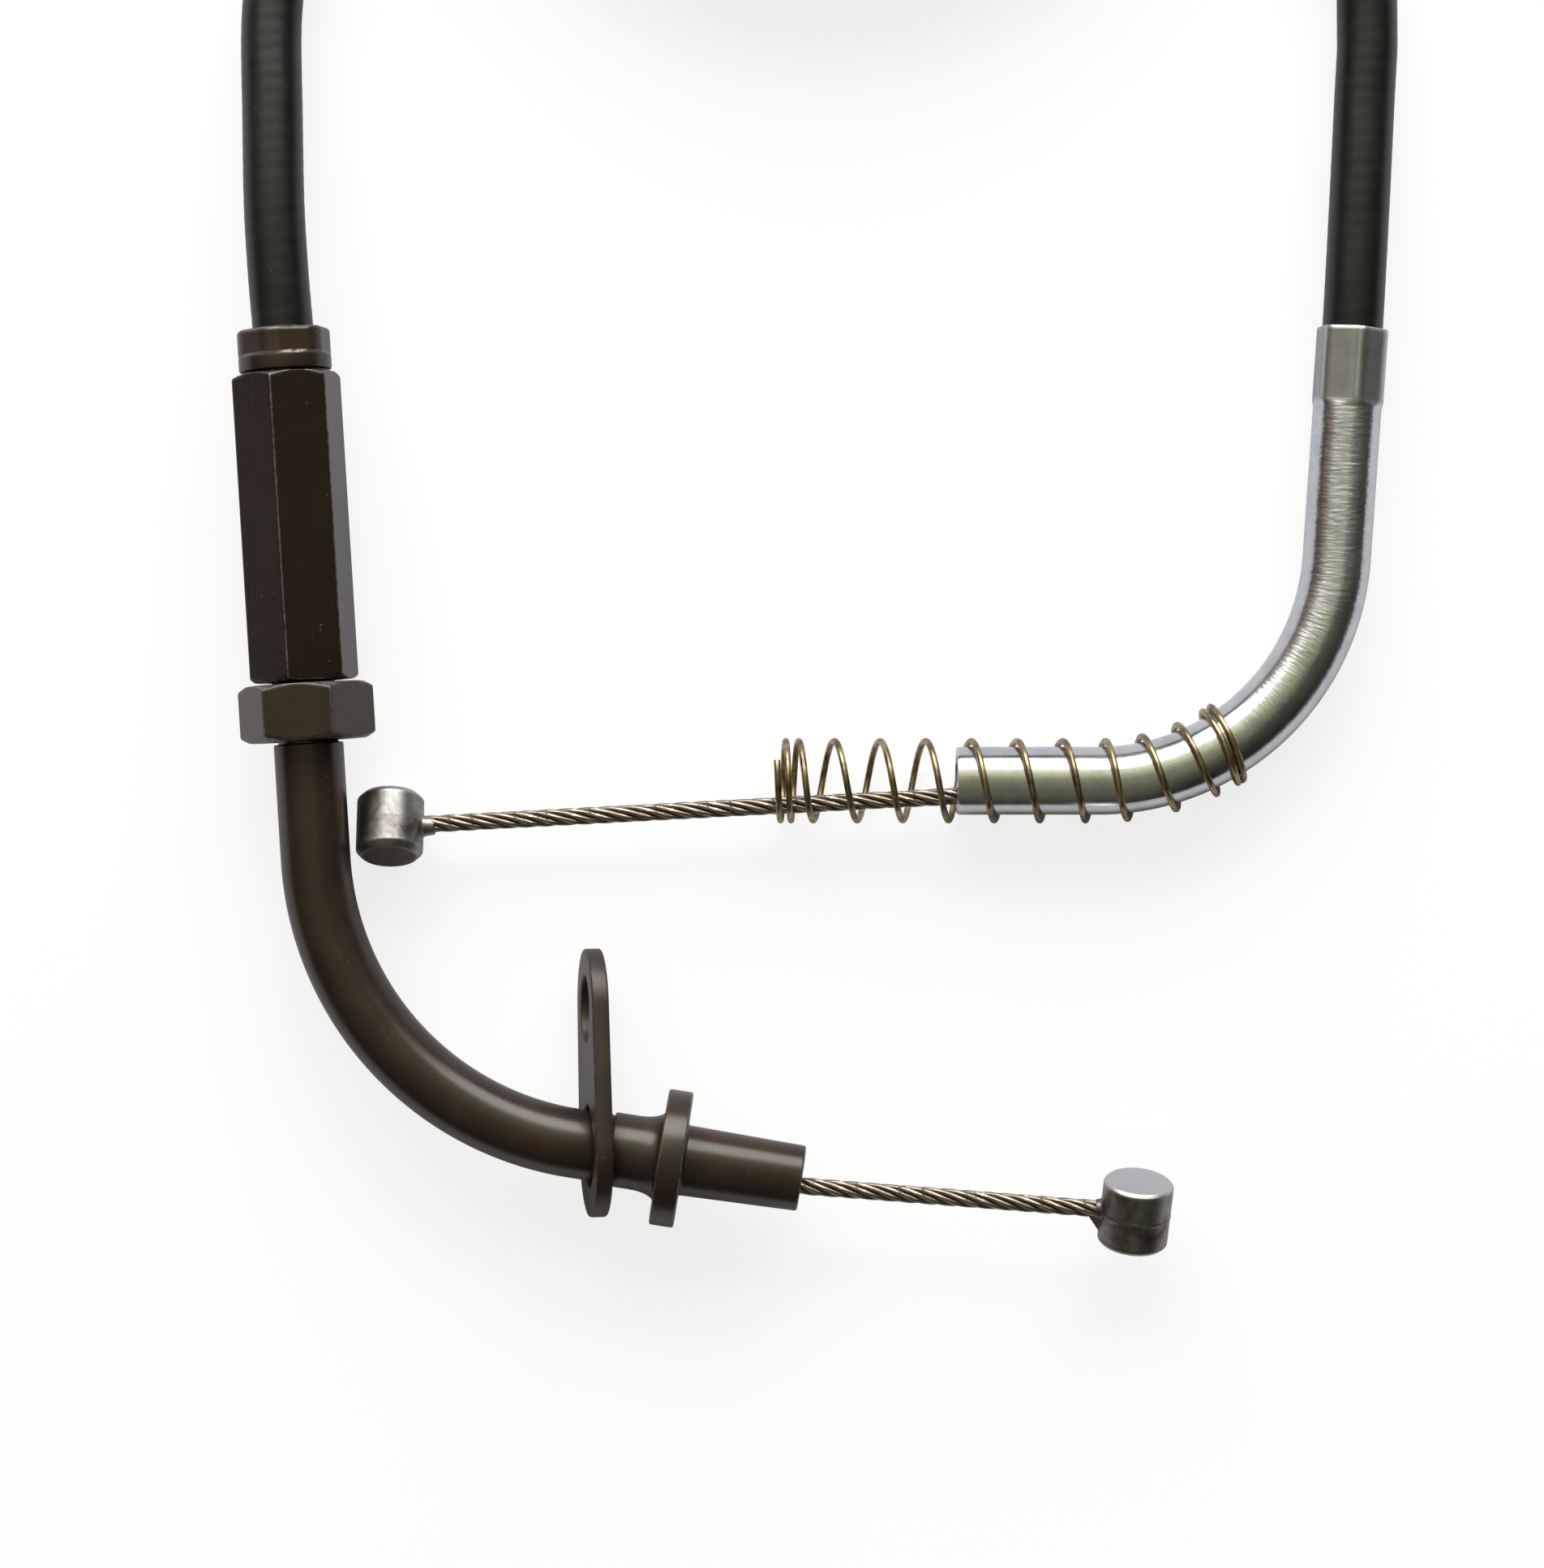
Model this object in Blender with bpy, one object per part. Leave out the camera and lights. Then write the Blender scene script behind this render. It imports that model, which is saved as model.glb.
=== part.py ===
"""Choke cable for a small engine: casing with two elbows, an adjuster, a clamp plate and two inner wires.

The cable lies on its side on a flat surface. Both ends point the same way, up the +Y side, and the
casing between them is wound into a coil there. Units are metres. +Z is up. The origin lies on the
surface, under the middle of the metal ends.
"""

import math

import bmesh
import bpy
from mathutils import Matrix, Vector

MM = 0.001

# Clearances between pieces that touch
FACE_GAP = 0.25 * MM
RUNNING_GAP = 0.3 * MM
SURFACE_GAP = 0.06 * MM
SOCKET_GAP = 0.42 * MM

# Casing and the inner wire
CASING_RADIUS = 2.625 * MM
WIRE_RADIUS = 0.75 * MM

# Dark end: ferrule, adjuster sleeve, lock nut and elbow, all on one leaning axis
DARK_MOUTH = (-45.15 * MM, 39.41 * MM)
DARK_HEADING = math.radians(-86.47)
FERRULE_LENGTH = 3.6 * MM
FERRULE_FLATS = 7.5 * MM
FERRULE_RADIUS = 3.98 * MM
FERRULE_CHAMFER = 0.35 * MM
SOCKET_DEPTH = 3.0 * MM
SPIGOT_RADIUS = 3.0 * MM
SPIGOT_LENGTH = 6.2 * MM
SPIGOT_HOLE_RADIUS = 1.2 * MM
SLEEVE_LENGTH = 26.2 * MM
SLEEVE_FLATS = 8.26 * MM
SLEEVE_CHAMFER = 0.55 * MM
SLEEVE_TURN = math.radians(-19)
NUT_FLATS = 10.15 * MM
NUT_THICKNESS = 4.85 * MM
NUT_CHAMFER = 0.85 * MM
NUT_TURN = math.radians(3)
THREAD_RADIUS = 2.7 * MM
THREAD_ENGAGED = 14.0 * MM
DARK_TUBE_RADIUS = 2.97 * MM
DARK_BORE_RADIUS = 1.9 * MM
BELOW_NUT = 10.2 * MM
DARK_BEND_RADIUS = 26.1 * MM
DARK_BEND = math.radians(77.67)

# End fitting: hub, flange and nozzle turned from one bar
TUBE_PAST_BEND = 3.1 * MM
HUB_RADIUS = 3.17 * MM
HUB_LENGTH = 2.4 * MM
HUB_FLARE_RADIUS = 3.65 * MM
HUB_FLARE_LENGTH = 1.6 * MM
FLANGE_RADIUS = 5.85 * MM
FLANGE_THICKNESS = 2.1 * MM
NOZZLE_ROOT_RADIUS = 3.02 * MM
NOZZLE_TIP_RADIUS = 2.8 * MM
NOZZLE_LENGTH = 10.2 * MM
NOZZLE_BORE_RADIUS = 1.8 * MM
TUBE_SPIGOT_RADIUS = 2.4 * MM
TUBE_SPIGOT_LENGTH = 4.6 * MM
EDGE_BREAK = 0.25 * MM

# Clamp plate, loose on the elbow and canted
PLATE_THICKNESS = 1.45 * MM
PLATE_TUBE_END_RADIUS = 6.0 * MM
PLATE_SCREW_END_RADIUS = 5.2 * MM
PLATE_CENTRES = 11.7 * MM
PLATE_TUBE_HOLE_RADIUS = 3.6 * MM
PLATE_SCREW_HOLE_RADIUS = 2.9 * MM
PLATE_PAST_BEND = 1.9 * MM
PLATE_LEAN = math.radians(1.4)
PLATE_TWIST = math.radians(9.6)
PLATE_EDGE = 0.22 * MM

# Bright end: bent tube with a hexagonal crimp. Its nipple lies beside the dark elbow.
NIPPLE_DOWN_ELBOW = 42.89 * MM
NIPPLE_ELBOW_GAP = 0.49 * MM
BRIGHT_HEIGHT = 4.1 * MM
BRIGHT_TUBE_RADIUS = 2.92 * MM
BRIGHT_BORE_RADIUS = 2.25 * MM
BRIGHT_LEAD = 12.19 * MM
BRIGHT_BEND_RADIUS = 20.5 * MM
BRIGHT_BEND = math.radians(86)
BRIGHT_UPRIGHT = 13.15 * MM
CRIMP_LENGTH = 6.6 * MM
CRIMP_FLATS = 5.75 * MM
CRIMP_RADIUS = 3.08 * MM
CRIMP_TURN = math.radians(96)
CRIMP_SHOULDER = 0.3 * MM

# Return spring round the bright tube
SPRING_WIRE_RADIUS = 0.28 * MM
SPRING_TUBE_GAP = 0.2 * MM
SPRING_OVERHANG = 15.4 * MM
SPRING_TURNS = 13.1
SPRING_PITCH = 3.92 * MM
SPRING_CLOSED_PITCH = 0.9 * MM
SPRING_CLOSED_TURNS = 1.4
SPRING_RAMP_TURNS = 1.3
SPRING_START = math.radians(30)

# Inner wires where they leave the tubes, and how far they slide
WIRE_TRAVEL = 12.0 * MM
DARK_WIRE_DROP = 0.65 * MM
DARK_WIRE_GUIDE = 3.5 * MM
DARK_WIRE_SLOPE = math.radians(-4.4)
DARK_WIRE_REACH = 28.0 * MM
DARK_WIRE_BEND = 3.0 * MM
BRIGHT_WIRE_DROP = 1.33 * MM
BRIGHT_WIRE_TAIL = 6.5 * MM
BRIGHT_WIRE_SLOPE = math.radians(3.04)
BRIGHT_WIRE_REACH = 48.1 * MM
HIDDEN_WIRE_GAP = 0.5 * MM
HIDDEN_CHANGE = 12.0 * MM
HIDDEN_WALL_GAP = 0.3 * MM
HIDDEN_ABOVE_ELBOW = 4.0 * MM

# Barrel nipples cast on the wires
NIPPLE_HOLE_RADIUS = 1.05 * MM
NIPPLE_HOLE_DEPTH = 2.6 * MM
DARK_NIPPLE_RADIUS = 3.0 * MM
DARK_NIPPLE_LENGTH = 5.8 * MM
DARK_NIPPLE_CHAMFER = 0.3 * MM
DARK_NIPPLE_LEAN = math.radians(5)
DARK_NIPPLE_TILT = math.radians(20)
DARK_STUB_LENGTH = 0.55 * MM
DARK_STUB_RADIUS = 1.5 * MM
BRIGHT_NIPPLE_RADIUS = 2.88 * MM
BRIGHT_NIPPLE_LENGTH = 5.6 * MM
BRIGHT_NIPPLE_CHAMFER = 0.55 * MM
BRIGHT_NIPPLE_LEAN = math.radians(-0.5)
BRIGHT_NIPPLE_TILT = math.radians(-23)
BRIGHT_STUB_LENGTH = 1.7 * MM
BRIGHT_STUB_RADIUS = 1.35 * MM

# Coil of spare casing, turns beside and on each other, held by ties
COIL_CENTRE = (0.9 * MM, 108.0 * MM)
COIL_MEAN_RADIUS = 30.0 * MM
COIL_ROWS = 2
TIE_THICKNESS = 0.6 * MM
TIE_WIDTH = 3.6 * MM
TIE_ANGLES = (math.radians(118), math.radians(298))

# Routes of the casing from each metal end to the coil, as points in millimetres
DARK_ROUTE = [
    (-44.98, 36.72, 6.10),
    (-45.15, 39.41, 6.10),
    (-45.55, 44.00, 6.05),
    (-45.95, 50.00, 5.70),
    (-46.20, 58.00, 4.80),
    (-46.40, 66.00, 3.70),
    (-45.84, 71.25, 3.05),
    (-44.25, 76.50, 2.75),
    (-41.86, 81.75, 2.70),
    (-39.05, 87.00, 2.70),
    (-36.58, 91.60, 2.80),
    (-34.62, 95.75, 3.00),
]
BRIGHT_ROUTE = [
    (46.45, 39.95, 4.10),
    (46.72, 44.50, 4.02),
    (47.10, 51.00, 3.70),
    (47.55, 59.00, 3.20),
    (47.95, 67.00, 2.80),
    (47.45, 72.10, 2.70),
    (45.90, 77.25, 2.75),
    (43.50, 82.40, 3.00),
    (40.75, 87.50, 3.60),
    (38.52, 91.60, 4.45),
    (36.46, 95.80, 5.50),
]
ROUTE_STEP = 10.5 * MM

# Fineness of the round forms
TUBE_SIDES = 24
TURNED_SIDES = 32
BEND_STEPS = 18
SPRING_STEPS = 16
SPRING_SIDES = 6
COIL_STEPS = 36
CORNER_STEPS = 2
PLATE_ARC_STEPS = 14


def clear_scene():
    for obj in list(bpy.data.objects):
        bpy.data.objects.remove(obj, do_unlink=True)


def finish(name, color, metallic, roughness):
    material = bpy.data.materials.new(name)
    material.use_nodes = True
    shader = material.node_tree.nodes["Principled BSDF"]
    shader.inputs["Base Color"].default_value = (*color, 1.0)
    shader.inputs["Metallic"].default_value = metallic
    shader.inputs["Roughness"].default_value = roughness
    material.diffuse_color = (*color, 1.0)
    return material


def add_object(name, data, material, parent=None):
    obj = bpy.data.objects.new(name, data)
    bpy.context.scene.collection.objects.link(obj)
    if material:
        data.materials.append(material)
    obj.parent = parent
    return obj


def mesh_object(name, bm, material, parent=None):
    """An object from a bmesh, with outward faces and smooth shading on its round stretches."""
    bmesh.ops.recalc_face_normals(bm, faces=bm.faces)
    mesh = bpy.data.meshes.new(name)
    bm.to_mesh(mesh)
    bm.free()
    mesh.shade_smooth()
    mesh.set_sharp_from_angle(angle=math.radians(35))
    return add_object(name, mesh, material, parent)


def axis_frame(point, heading):
    """A placement whose Z runs along the heading, whose Y is up and whose X is to the heading's left."""
    along = Vector((math.cos(heading), math.sin(heading), 0))
    left = Vector((-math.sin(heading), math.cos(heading), 0))
    up = Vector((0, 0, 1))
    frame = Matrix((left, up, along)).transposed().to_4x4()
    frame.translation = point
    return frame


def walk(start, heading, stretches, distance):
    """The point and heading at a distance along stretches, each given by its length and curvature."""
    point = Vector(start)
    for length, curvature in stretches:
        step = min(distance, length)
        turn = step * curvature
        chord = 2 * math.sin(turn / 2) / curvature if curvature else step
        middle = heading + turn / 2
        point += chord * Vector((math.cos(middle), math.sin(middle), 0))
        heading += turn
        distance -= step
    point += distance * Vector((math.cos(heading), math.sin(heading), 0))
    return point, heading


def side_of(heading, offset):
    """A step sideways, to the left of the heading."""
    return offset * Vector((-math.sin(heading), math.cos(heading), 0))


def loft(rings, closed):
    """Faces between rings of points. A closed loft joins its last ring to its first, else it is capped."""
    bm = bmesh.new()
    loops = [[bm.verts.new(point) for point in ring] for ring in rings]
    following = loops[1:] + loops[:1] if closed else loops[1:]
    for lower, upper in zip(loops, following):
        for i in range(len(lower)):
            j = (i + 1) % len(lower)
            bm.faces.new((lower[i], lower[j], upper[j], upper[i]))
    if not closed:
        bm.faces.new(loops[0][::-1])
        bm.faces.new(loops[-1])
    return bm


def turned_body(profile, sides):
    """A closed outline of (radius, height) points spun round Z."""
    rings = []
    for radius, height in profile:
        angles = [2 * math.pi * i / sides for i in range(sides)]
        rings.append([Vector((radius * math.cos(a), radius * math.sin(a), height)) for a in angles])
    return loft(rings, closed=True)


def solid_of_turning(profile, sides):
    """A solid spun round Z from (radius, height) points between its two flat ends."""
    rings = []
    for radius, height in profile:
        angles = [2 * math.pi * i / sides for i in range(sides)]
        rings.append([Vector((radius * math.cos(a), radius * math.sin(a), height)) for a in angles])
    return loft(rings, closed=False)


def hexagon(name, flats, low, high, turn, parent):
    """A hexagonal bar used as a cutter: a corner lies at the turn angle from its X axis."""
    corner = flats / math.sqrt(3)
    angles = [turn + math.radians(60 * i) for i in range(6)]
    rings = [[Vector((corner * math.cos(a), corner * math.sin(a), z)) for a in angles] for z in (low, high)]
    return cutter(name, loft(rings, closed=False), parent)


def cutter(name, bm, parent):
    obj = mesh_object(name, bm, None, parent)
    obj.hide_render = True
    obj.display_type = "WIRE"
    return obj


def combine(obj, other, operation):
    modifier = obj.modifiers.new(operation.lower(), "BOOLEAN")
    modifier.operation = operation
    modifier.solver = "EXACT"
    modifier.object = other


def swept_tube(name, stations, bore, material):
    """A tube through stations of (point, heading, radius at each angle), bored right through."""
    angles = [2 * math.pi * i / TUBE_SIDES for i in range(TUBE_SIDES)]

    def ring(point, heading, radius_at):
        left = side_of(heading, 1)
        up = Vector((0, 0, 1))
        return [point + radius_at(a) * (math.cos(a) * left + math.sin(a) * up) for a in angles]

    outer = [ring(*station) for station in stations]
    inner = [ring(point, heading, lambda a: bore) for point, heading, _ in reversed(stations)]
    return mesh_object(name, loft(outer + inner, closed=True), material)


def set_origin(obj, point):
    """Moves an object's origin to a point and leaves its shape where it is."""
    obj.data.transform(Matrix.Translation(-Vector(point)))
    obj.location = point


def round_section(radius):
    return lambda angle: radius


def crimped_section(flats, radius, turn):
    """Round stock pressed to six flats, with its corners left round."""

    def radius_at(angle):
        from_corner = (angle - turn) % math.radians(60)
        flat = flats / 2 / math.cos(from_corner - math.radians(30))
        return min(flat, radius)

    return radius_at


def smooth_points(route, step):
    """Points a step apart on a smooth curve through the route's own points."""
    points = [Vector(p) for p in route]
    points = [2 * points[0] - points[1]] + points + [2 * points[-1] - points[-2]]
    fine = []
    for a, b, c, d in zip(points, points[1:], points[2:], points[3:]):
        for i in range(20):
            t = i / 20
            bend = 2 * a - 5 * b + 4 * c - d
            twist = 3 * b - a - 3 * c + d
            fine.append((2 * b + (c - a) * t + bend * t * t + twist * t**3) / 2)
    fine.append(points[-2])
    length = sum((q - p).length for p, q in zip(fine, fine[1:]))
    count = max(2, round(length / step))
    spaced, travelled = [fine[0]], 0.0
    for p, q in zip(fine, fine[1:]):
        travelled += (q - p).length
        if travelled >= length * len(spaced) / count and len(spaced) < count:
            spaced.append(q)
    return spaced + [fine[-1]]


def rod(name, points, radius, resolution, material, origin=None):
    """A round rod or cord along points, as a bevelled curve with closed ends."""
    curve = bpy.data.curves.new(name, "CURVE")
    curve.dimensions = "3D"
    curve.bevel_depth = radius
    curve.bevel_resolution = resolution
    curve.use_fill_caps = True
    spline = curve.splines.new("POLY")
    spline.points.add(len(points) - 1)
    base = Vector(origin or (0, 0, 0))
    for target, point in zip(spline.points, points):
        target.co = (*(Vector(point) - base), 1)
    obj = add_object(name, curve, material)
    obj.location = base
    return obj


def dark_height():
    """Height of the dark end's axis: the clamp plate's edge just clears the surface."""
    edge = PLATE_TUBE_END_RADIUS * math.cos(PLATE_TWIST) + PLATE_THICKNESS / 2 * math.sin(PLATE_TWIST)
    return edge + SURFACE_GAP


def sleeve_start():
    return FERRULE_LENGTH + FACE_GAP


def nut_start():
    return sleeve_start() + SLEEVE_LENGTH + FACE_GAP


def nut_end():
    return nut_start() + NUT_THICKNESS


def elbow_start():
    return sleeve_start() + SLEEVE_LENGTH - THREAD_ENGAGED


def fitting_length():
    return HUB_LENGTH + HUB_FLARE_LENGTH + FLANGE_THICKNESS + NOZZLE_LENGTH


def dark_stretches():
    """Straight through the adjuster, round the bend and straight to the nozzle's mouth."""
    above = nut_end() + BELOW_NUT
    beyond = TUBE_PAST_BEND + FACE_GAP + fitting_length()
    return [(above, 0), (DARK_BEND_RADIUS * DARK_BEND, 1 / DARK_BEND_RADIUS), (beyond, 0)]


def dark_at(distance):
    """The dark end's axis and heading at a distance from the ferrule's mouth."""
    return walk((*DARK_MOUTH, dark_height()), DARK_HEADING, dark_stretches(), distance)


def bend_end():
    return sum(length for length, _ in dark_stretches()[:2])


def nozzle_mouth():
    return sum(length for length, _ in dark_stretches())


def bright_wire_way():
    """The way the bright wire runs into its tube."""
    return Vector((math.cos(BRIGHT_WIRE_SLOPE), math.sin(BRIGHT_WIRE_SLOPE), 0))


def bright_mouth():
    """The bright tube's mouth, at the wire's reach from the nipple that lies beside the dark elbow."""
    beside, heading = dark_at(NIPPLE_DOWN_ELBOW)
    aside = DARK_TUBE_RADIUS + NIPPLE_ELBOW_GAP + BRIGHT_NIPPLE_RADIUS
    barrel = beside + side_of(heading, aside)
    reach = BRIGHT_WIRE_REACH + nipple_seat(BRIGHT_NIPPLE_RADIUS)
    mouth = barrel + reach * bright_wire_way() + side_of(0, BRIGHT_WIRE_DROP)
    return mouth.x, mouth.y, BRIGHT_HEIGHT


def bright_stretches():
    """In from the mouth, round the bend and up to the end of the crimp."""
    beyond = BRIGHT_UPRIGHT + CRIMP_LENGTH
    return [(BRIGHT_LEAD, 0), (BRIGHT_BEND_RADIUS * BRIGHT_BEND, 1 / BRIGHT_BEND_RADIUS), (beyond, 0)]


def bright_at(distance):
    """The bright tube's axis at a distance from its mouth, or before it where that is negative."""
    return walk(bright_mouth(), 0, bright_stretches(), distance)


def make_ferrule(material):
    """Collar pressed on the casing's end, with the spigot on which the sleeve turns."""
    point, heading = dark_at(0)
    socket = CASING_RADIUS + SOCKET_GAP
    end = FERRULE_LENGTH + SPIGOT_LENGTH
    outline = [
        (socket, 0),
        (FERRULE_RADIUS - FERRULE_CHAMFER, 0),
        (FERRULE_RADIUS, FERRULE_CHAMFER),
        (FERRULE_RADIUS, FERRULE_LENGTH),
        (SPIGOT_RADIUS, FERRULE_LENGTH),
        (SPIGOT_RADIUS, end - EDGE_BREAK),
        (SPIGOT_RADIUS - EDGE_BREAK, end),
        (SPIGOT_HOLE_RADIUS, end),
        (SPIGOT_HOLE_RADIUS, SOCKET_DEPTH),
        (socket, SOCKET_DEPTH),
    ]
    ferrule = mesh_object("casing_ferrule", turned_body(outline, TURNED_SIDES), material)
    ferrule.matrix_world = axis_frame(point, heading)
    press = hexagon("ferrule_press", FERRULE_FLATS, -end, 2 * end, SLEEVE_TURN, ferrule)
    combine(ferrule, press, "INTERSECT")


def hexagonal_piece(name, start, size, turn, bores, material):
    """A piece of hexagonal bar with turned ends, bored in steps of (radius, end of step)."""
    length, flats, chamfer = size
    point, heading = dark_at(start)
    corner = flats / math.sqrt(3)
    drop = chamfer * math.tan(math.radians(30))
    outline = [(corner - chamfer, 0), (corner, drop), (corner, length - drop), (corner - chamfer, length)]
    inner = []
    low = 0
    for radius, high in bores:
        inner += [(radius, low), (radius, high)]
        low = high
    piece = mesh_object(name, turned_body(outline + inner[::-1], TURNED_SIDES * 2), material)
    piece.matrix_world = axis_frame(point, heading)
    bar = hexagon(name + "_bar", flats, -flats, length + flats, turn, piece)
    combine(piece, bar, "INTERSECT")
    return piece


def make_sleeve(material):
    """Long adjuster sleeve: a counterbore for the ferrule's spigot, then the threaded bore."""
    recess = SPIGOT_LENGTH - FACE_GAP + RUNNING_GAP
    bores = [(SPIGOT_RADIUS + RUNNING_GAP, recess), (THREAD_RADIUS + RUNNING_GAP, SLEEVE_LENGTH)]
    size = (SLEEVE_LENGTH, SLEEVE_FLATS, SLEEVE_CHAMFER)
    hexagonal_piece("adjuster_sleeve", sleeve_start(), size, SLEEVE_TURN, bores, material)


def make_nut(material):
    bores = [(THREAD_RADIUS + RUNNING_GAP, NUT_THICKNESS)]
    size = (NUT_THICKNESS, NUT_FLATS, NUT_CHAMFER)
    hexagonal_piece("lock_nut", nut_start(), size, NUT_TURN, bores, material)


def make_dark_elbow(material):
    """Bent tube: threaded at the top, necked at the bottom where the end fitting is pressed on."""
    shoulder = nut_end() + FACE_GAP
    neck = bend_end() + TUBE_PAST_BEND
    bend_start = dark_stretches()[0][0]
    bend_length = dark_stretches()[1][0]
    bends = [bend_start + bend_length * i / BEND_STEPS for i in range(BEND_STEPS + 1)]
    steps = [
        (elbow_start(), THREAD_RADIUS - EDGE_BREAK),
        (elbow_start() + EDGE_BREAK, THREAD_RADIUS),
        (shoulder, THREAD_RADIUS),
        (shoulder, DARK_TUBE_RADIUS),
    ]
    steps += [(distance, DARK_TUBE_RADIUS) for distance in bends]
    steps += [(neck, DARK_TUBE_RADIUS), (neck, TUBE_SPIGOT_RADIUS)]
    steps += [(neck + TUBE_SPIGOT_LENGTH, TUBE_SPIGOT_RADIUS)]
    stations = [(*dark_at(distance), round_section(radius)) for distance, radius in steps]
    elbow = swept_tube("dark_elbow", stations, DARK_BORE_RADIUS, material)
    set_origin(elbow, dark_at(elbow_start())[0])


def make_end_fitting(material):
    """Hub pressed on the elbow's neck, flange and nozzle."""
    start = bend_end() + TUBE_PAST_BEND + FACE_GAP
    point, heading = dark_at(start)
    flare = HUB_LENGTH + HUB_FLARE_LENGTH
    front = flare + FLANGE_THICKNESS
    mouth = fitting_length()
    neck_hole = TUBE_SPIGOT_RADIUS + FACE_GAP
    neck_depth = TUBE_SPIGOT_LENGTH
    outline = [
        (HUB_RADIUS - EDGE_BREAK, 0),
        (HUB_RADIUS, EDGE_BREAK),
        (HUB_RADIUS, HUB_LENGTH),
        (HUB_FLARE_RADIUS, flare),
        (FLANGE_RADIUS - EDGE_BREAK, flare),
        (FLANGE_RADIUS, flare + EDGE_BREAK),
        (FLANGE_RADIUS, front - EDGE_BREAK),
        (FLANGE_RADIUS - EDGE_BREAK, front),
        (NOZZLE_ROOT_RADIUS, front),
        (NOZZLE_TIP_RADIUS, mouth - EDGE_BREAK),
        (NOZZLE_TIP_RADIUS - EDGE_BREAK, mouth),
        (NOZZLE_BORE_RADIUS + EDGE_BREAK, mouth),
        (NOZZLE_BORE_RADIUS, mouth - EDGE_BREAK),
        (NOZZLE_BORE_RADIUS, neck_depth),
        (neck_hole, neck_depth),
        (neck_hole, 0),
    ]
    fitting = mesh_object("end_fitting", turned_body(outline, TURNED_SIDES), material)
    fitting.matrix_world = axis_frame(point, heading)


def plate_outline():
    """Two round ends of different radius joined by their tangents, about the tube hole's centre."""
    ease = math.asin((PLATE_TUBE_END_RADIUS - PLATE_SCREW_END_RADIUS) / PLATE_CENTRES)
    points = []
    for i in range(PLATE_ARC_STEPS + 1):
        angle = ease + (math.pi - 2 * ease) * i / PLATE_ARC_STEPS
        across = PLATE_SCREW_END_RADIUS * math.cos(angle)
        along = PLATE_CENTRES + PLATE_SCREW_END_RADIUS * math.sin(angle)
        points.append((along, across))
    for i in range(PLATE_ARC_STEPS + 1):
        angle = math.pi - ease + (math.pi + 2 * ease) * i / PLATE_ARC_STEPS
        points.append((PLATE_TUBE_END_RADIUS * math.sin(angle), PLATE_TUBE_END_RADIUS * math.cos(angle)))
    return points


def round_cutter(name, radius, half_length, offset, parent):
    """A drill along X at an offset along Y."""
    rings = []
    for x in (-half_length, half_length):
        angles = [2 * math.pi * i / TURNED_SIDES for i in range(TURNED_SIDES)]
        rings.append([Vector((x, offset + radius * math.cos(a), radius * math.sin(a))) for a in angles])
    return cutter(name, loft(rings, closed=False), parent)


def make_clamp_plate(material):
    """Stamped plate that hangs loose on the elbow, with a hole for the screw that would hold it."""
    half = PLATE_THICKNESS / 2
    rings = [[Vector((x, along, across)) for along, across in plate_outline()] for x in (-half, half)]
    plate = mesh_object("clamp_plate", loft(rings, closed=False), material)
    tube_hole = round_cutter("plate_tube_hole", PLATE_TUBE_HOLE_RADIUS, PLATE_CENTRES, 0, plate)
    screw = PLATE_SCREW_HOLE_RADIUS
    screw_hole = round_cutter("plate_screw_hole", screw, PLATE_CENTRES, PLATE_CENTRES, plate)
    combine(plate, tube_hole, "DIFFERENCE")
    combine(plate, screw_hole, "DIFFERENCE")
    edges = plate.modifiers.new("edges", "BEVEL")
    edges.width = PLATE_EDGE
    edges.segments = 1
    edges.limit_method = "ANGLE"
    edges.angle_limit = math.radians(50)
    drop = (PLATE_TUBE_END_RADIUS - PLATE_SCREW_END_RADIUS) * math.cos(PLATE_TWIST) / PLATE_CENTRES
    tilt = Matrix.Rotation(-math.asin(drop), 4, "X")
    lean = Matrix.Rotation(PLATE_LEAN, 4, "Z")
    twist = Matrix.Rotation(PLATE_TWIST, 4, "Y")
    point = dark_at(bend_end() + PLATE_PAST_BEND)[0]
    plate.matrix_world = Matrix.Translation(point) @ tilt @ lean @ twist


def make_bright_elbow(material):
    """Bent tube whose upper end is crimped on the casing."""
    lead, bend = bright_stretches()[0][0], bright_stretches()[1][0]
    total = sum(length for length, _ in bright_stretches())
    crimp = total - CRIMP_LENGTH
    tube = round_section(BRIGHT_TUBE_RADIUS)
    edge = round_section(BRIGHT_TUBE_RADIUS - EDGE_BREAK)
    pressed = crimped_section(CRIMP_FLATS, CRIMP_RADIUS, CRIMP_TURN)
    stations = [(*bright_at(0), edge), (*bright_at(EDGE_BREAK), tube)]
    stations += [(*bright_at(lead + bend * i / BEND_STEPS), tube) for i in range(BEND_STEPS + 1)]
    stations += [(*bright_at(crimp), tube), (*bright_at(crimp + CRIMP_SHOULDER), pressed)]
    stations += [(*bright_at(total), pressed)]
    elbow = swept_tube("bright_elbow", stations, BRIGHT_BORE_RADIUS, material)
    set_origin(elbow, bright_at(0)[0])


def spring_pitch(turn):
    """Distance between turns: close at both ends, open between."""
    from_end = min(turn, SPRING_TURNS - turn) - SPRING_CLOSED_TURNS
    share = min(max(from_end / SPRING_RAMP_TURNS, 0), 1)
    return SPRING_CLOSED_PITCH + (SPRING_PITCH - SPRING_CLOSED_PITCH) * share


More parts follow.
